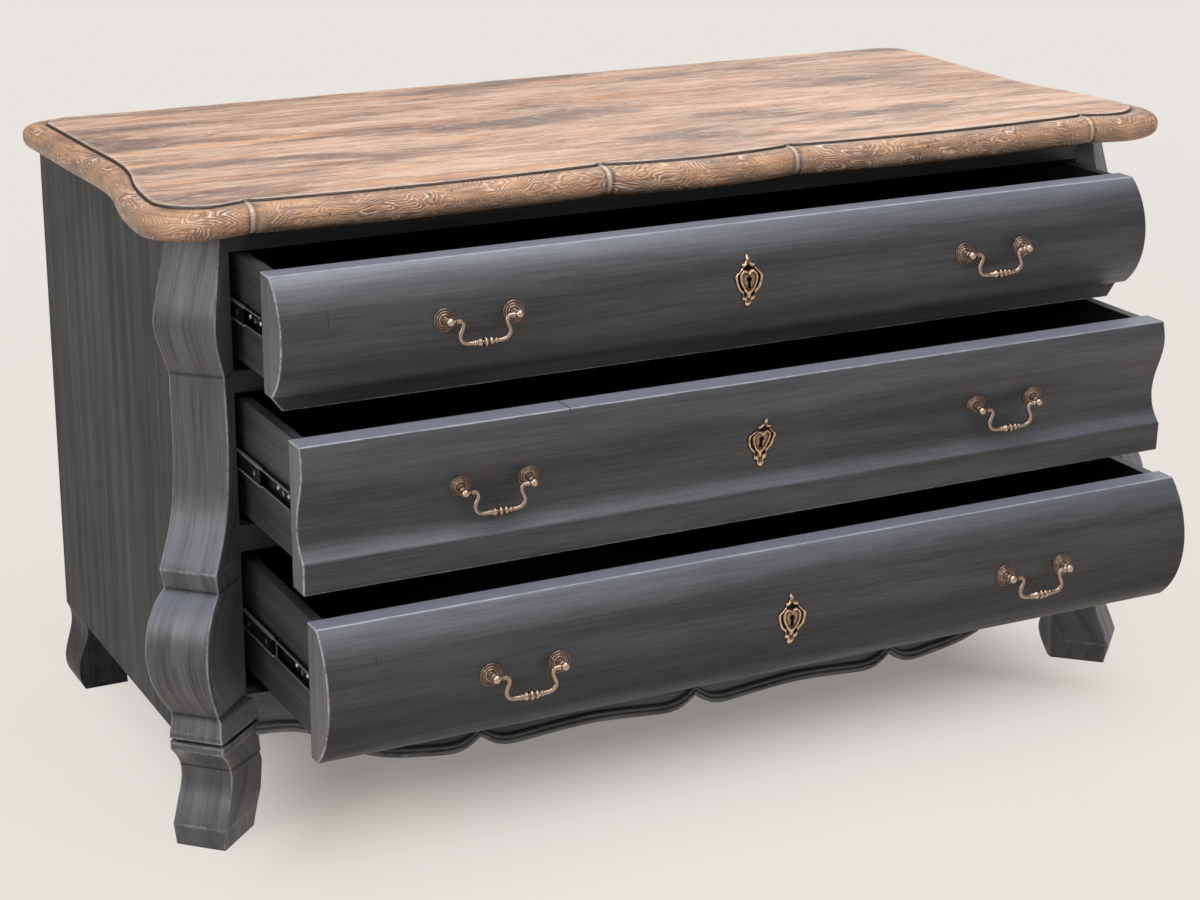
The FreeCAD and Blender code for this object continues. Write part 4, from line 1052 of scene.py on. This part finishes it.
apronSizes = {"drop": 126, "front": -34, "bow": 32, "bowHalf": 670, "sunk": 0.4}
apronInner = [(0, .862), (.04, .985), (.1, 1), (.253, .95), (.41, 1), (.467, .985), (.507, .862)]
apronOuter = [(.507, .862), (.547, .985), (.611, .99), (.7, .93), (.775, .81), (.84, .62), (.9, .475),
              (.96, .435), (1.08, .43)]
beadProfile = [(0, 0), (-4, 0), (-6.6, 0.5), (-8.3, 2), (-8.9, 4.2), (-8.3, 6.4), (-6.9, 7.7),
               (-6, 8.2), (-6.6, 8.8), (-7.2, 10.2), (-6.8, 12), (-5.4, 13.4), (-3, 14),
               (0, 14)]


def apronBead():
    # a double reed run along the scalloped lower edge, its ends cut to lie on the posts
    size, opening = apronSizes, caseSizes["openingHalf"]
    inner, outer = [smoothCurve(np.array(shares) * (opening, -size["drop"]), 160)
                    for shares in (apronInner, apronOuter)]
    half = join([inner, outer[1:]]) + (0, caseSizes["apronTop"])
    profile = np.array(beadProfile)
    radius = (size["bowHalf"] ** 2 + size["bow"] ** 2) / (2 * size["bow"])

    def depth(x):
        return size["front"] + radius - np.sqrt(radius ** 2 - x ** 2) + profile[:, 0] + size["sunk"]

    end = np.full(len(profile), opening)
    for _ in range(8):
        end = opening + np.maximum(0, -depth(end))
    share = join([-half[::-1, 0], half[1:, 0]]) / half[-1, 0]
    x = share[:, None] * end
    z = np.interp(np.abs(x), half[:, 0], half[:, 1]) + profile[:, 1]
    # painted highlight: the front crest of the reeds is marked paler
    wear = np.interp(profile[:, 0], [-8.9, -6.5, -5], [0.55, 0.3, 0])
    grids = capped(columns(x, depth(x), z), {"wear": wear})
    makePiece("apron_reeded_bead", grids, paintLowLit, "case", "grey_paint", "apron_bead", crease=45)


apronBead()
print("stage: apron bead")


# Floor, light and camera

studio = {"floor": (232, 228, 223), "matt": (241, 225, 209), "glow": (0.3, 0.56, 0.14),
          "shadow": (0.5, 0.15, 0.3), "world": 0.34, "tint": (0.98, 0.99, 1), "floorHalf": 40, "floorSteps": 9}
# each light's place, target, size, power and tint
studioLights = {"overhead": ((0, -0.6, 3.4), (0.05, -0.15, 0.6), (2.5, 1.7), 64, (0.97, 0.985, 1)),
                "front": ((-0.2, -3.4, 3.5), (0, -0.2, 0.4), (4.6, 2.2), 52, studio["tint"]),
                "back": ((2.9, 3, 3.6), (0.2, 0.2, 0.4), (2.6, 2), 44, studio["tint"]),
                "left": ((-3.4, -1.4, 2.1), (-0.6, -0.1, 0.5), (1.2, 2.2), 52, studio["tint"])}


def paleFloor():
    # a flat square grid far wider than the view
    count = studio["floorSteps"]
    step = np.linspace(-studio["floorHalf"], studio["floorHalf"], count)
    x, y = np.meshgrid(step, step, indexing="ij")
    points = columns(x, y, 0).reshape(-1, 3)
    mesh = bpy.data.meshes.new("studio_floor")
    mesh.from_pydata(points.tolist(), [], gridFaces(count, count, False)[:, ::-1].tolist())
    material, shade, place = newMaterial("studio_floor_matt")
    tone = place.noise(scale=1.3, detail=2).ramp(0.3, 0.7)
    colour = tone.mix(linear(*studio["matt"]), linear(*[c + 2 for c in studio["matt"]]))
    connect(material, Base_Color=colour, Roughness=tone * 0.05 + 0.85)
    # seen by the camera or in a reflection, part of the floor's light is its own, least of all under the case
    tree = material.node_tree
    glow = shade.make("Emission", {"Color": linear(*studio["floor"]), "Strength": 1})
    halfWide, middle, halfDeep = studio["shadow"]
    away = (place.axis(0).absolute() - halfWide).most((place.axis(1) - middle).absolute() - halfDeep)
    least, nearby, further = studio["glow"]
    share = away.ramp(-0.06, 0.22) * nearby + away.ramp(0.4, 3) * further + least
    seen = shade.make("LightPath", {}, "Is Camera Ray")
    for kind in ("Is Glossy Ray", "Is Transmission Ray"):
        seen = seen.most(shade.make("LightPath", {}, kind))
    matt = Shade(tree, tree.nodes["Principled BSDF"].outputs[0])
    both = shade.make("MixShader", {0: seen * share, 1: matt, 2: glow})
    tree.links.new(both.socket, tree.nodes["Material Output"].inputs["Surface"])
    mesh.materials.append(material)
    floor = bpy.data.objects.new("studio_floor", mesh)
    bpy.context.scene.collection.objects.link(floor)


def softLight(name, place, target, size, power, tint):
    light = bpy.data.lights.new(name, "AREA")
    light.shape, light.size, light.size_y = "RECTANGLE", size[0], size[1]
    light.energy, light.color = power, tint
    lamp = bpy.data.objects.new(name, light)
    lamp.location = place
    direction = np.array(target, float) - np.array(place, float)
    flat = math.hypot(direction[0], direction[1])
    lamp.rotation_euler = (math.atan2(flat, -direction[2]), 0, math.atan2(-direction[0], direction[1]))
    bpy.context.scene.collection.objects.link(lamp)


paleFloor()
for name, values in studioLights.items():
    softLight(f"studio_{name}", *values)

world = bpy.data.worlds.new("studio_world")
world.use_nodes = True
backdrop = world.node_tree.nodes["Background"]
backdrop.inputs["Color"].default_value = (1, 0.985, 0.965, 1)
backdrop.inputs["Strength"].default_value = studio["world"]
bpy.context.scene.world = world
bpy.context.scene.view_settings.view_transform = "Standard"

cameraData = bpy.data.cameras.new("camera")
cameraData.lens, cameraData.sensor_width, cameraData.shift_y = 77.98, 36, -0.0776
cameraData.dof.use_dof = False
camera = bpy.data.objects.new("camera", cameraData)
camera.location = (-1.5793, -3.0494, 1.4877)
camera.rotation_euler = (math.radians(74), 0, math.radians(-26.62))
bpy.context.scene.collection.objects.link(camera)
bpy.context.scene.camera = camera
print("stage: studio")
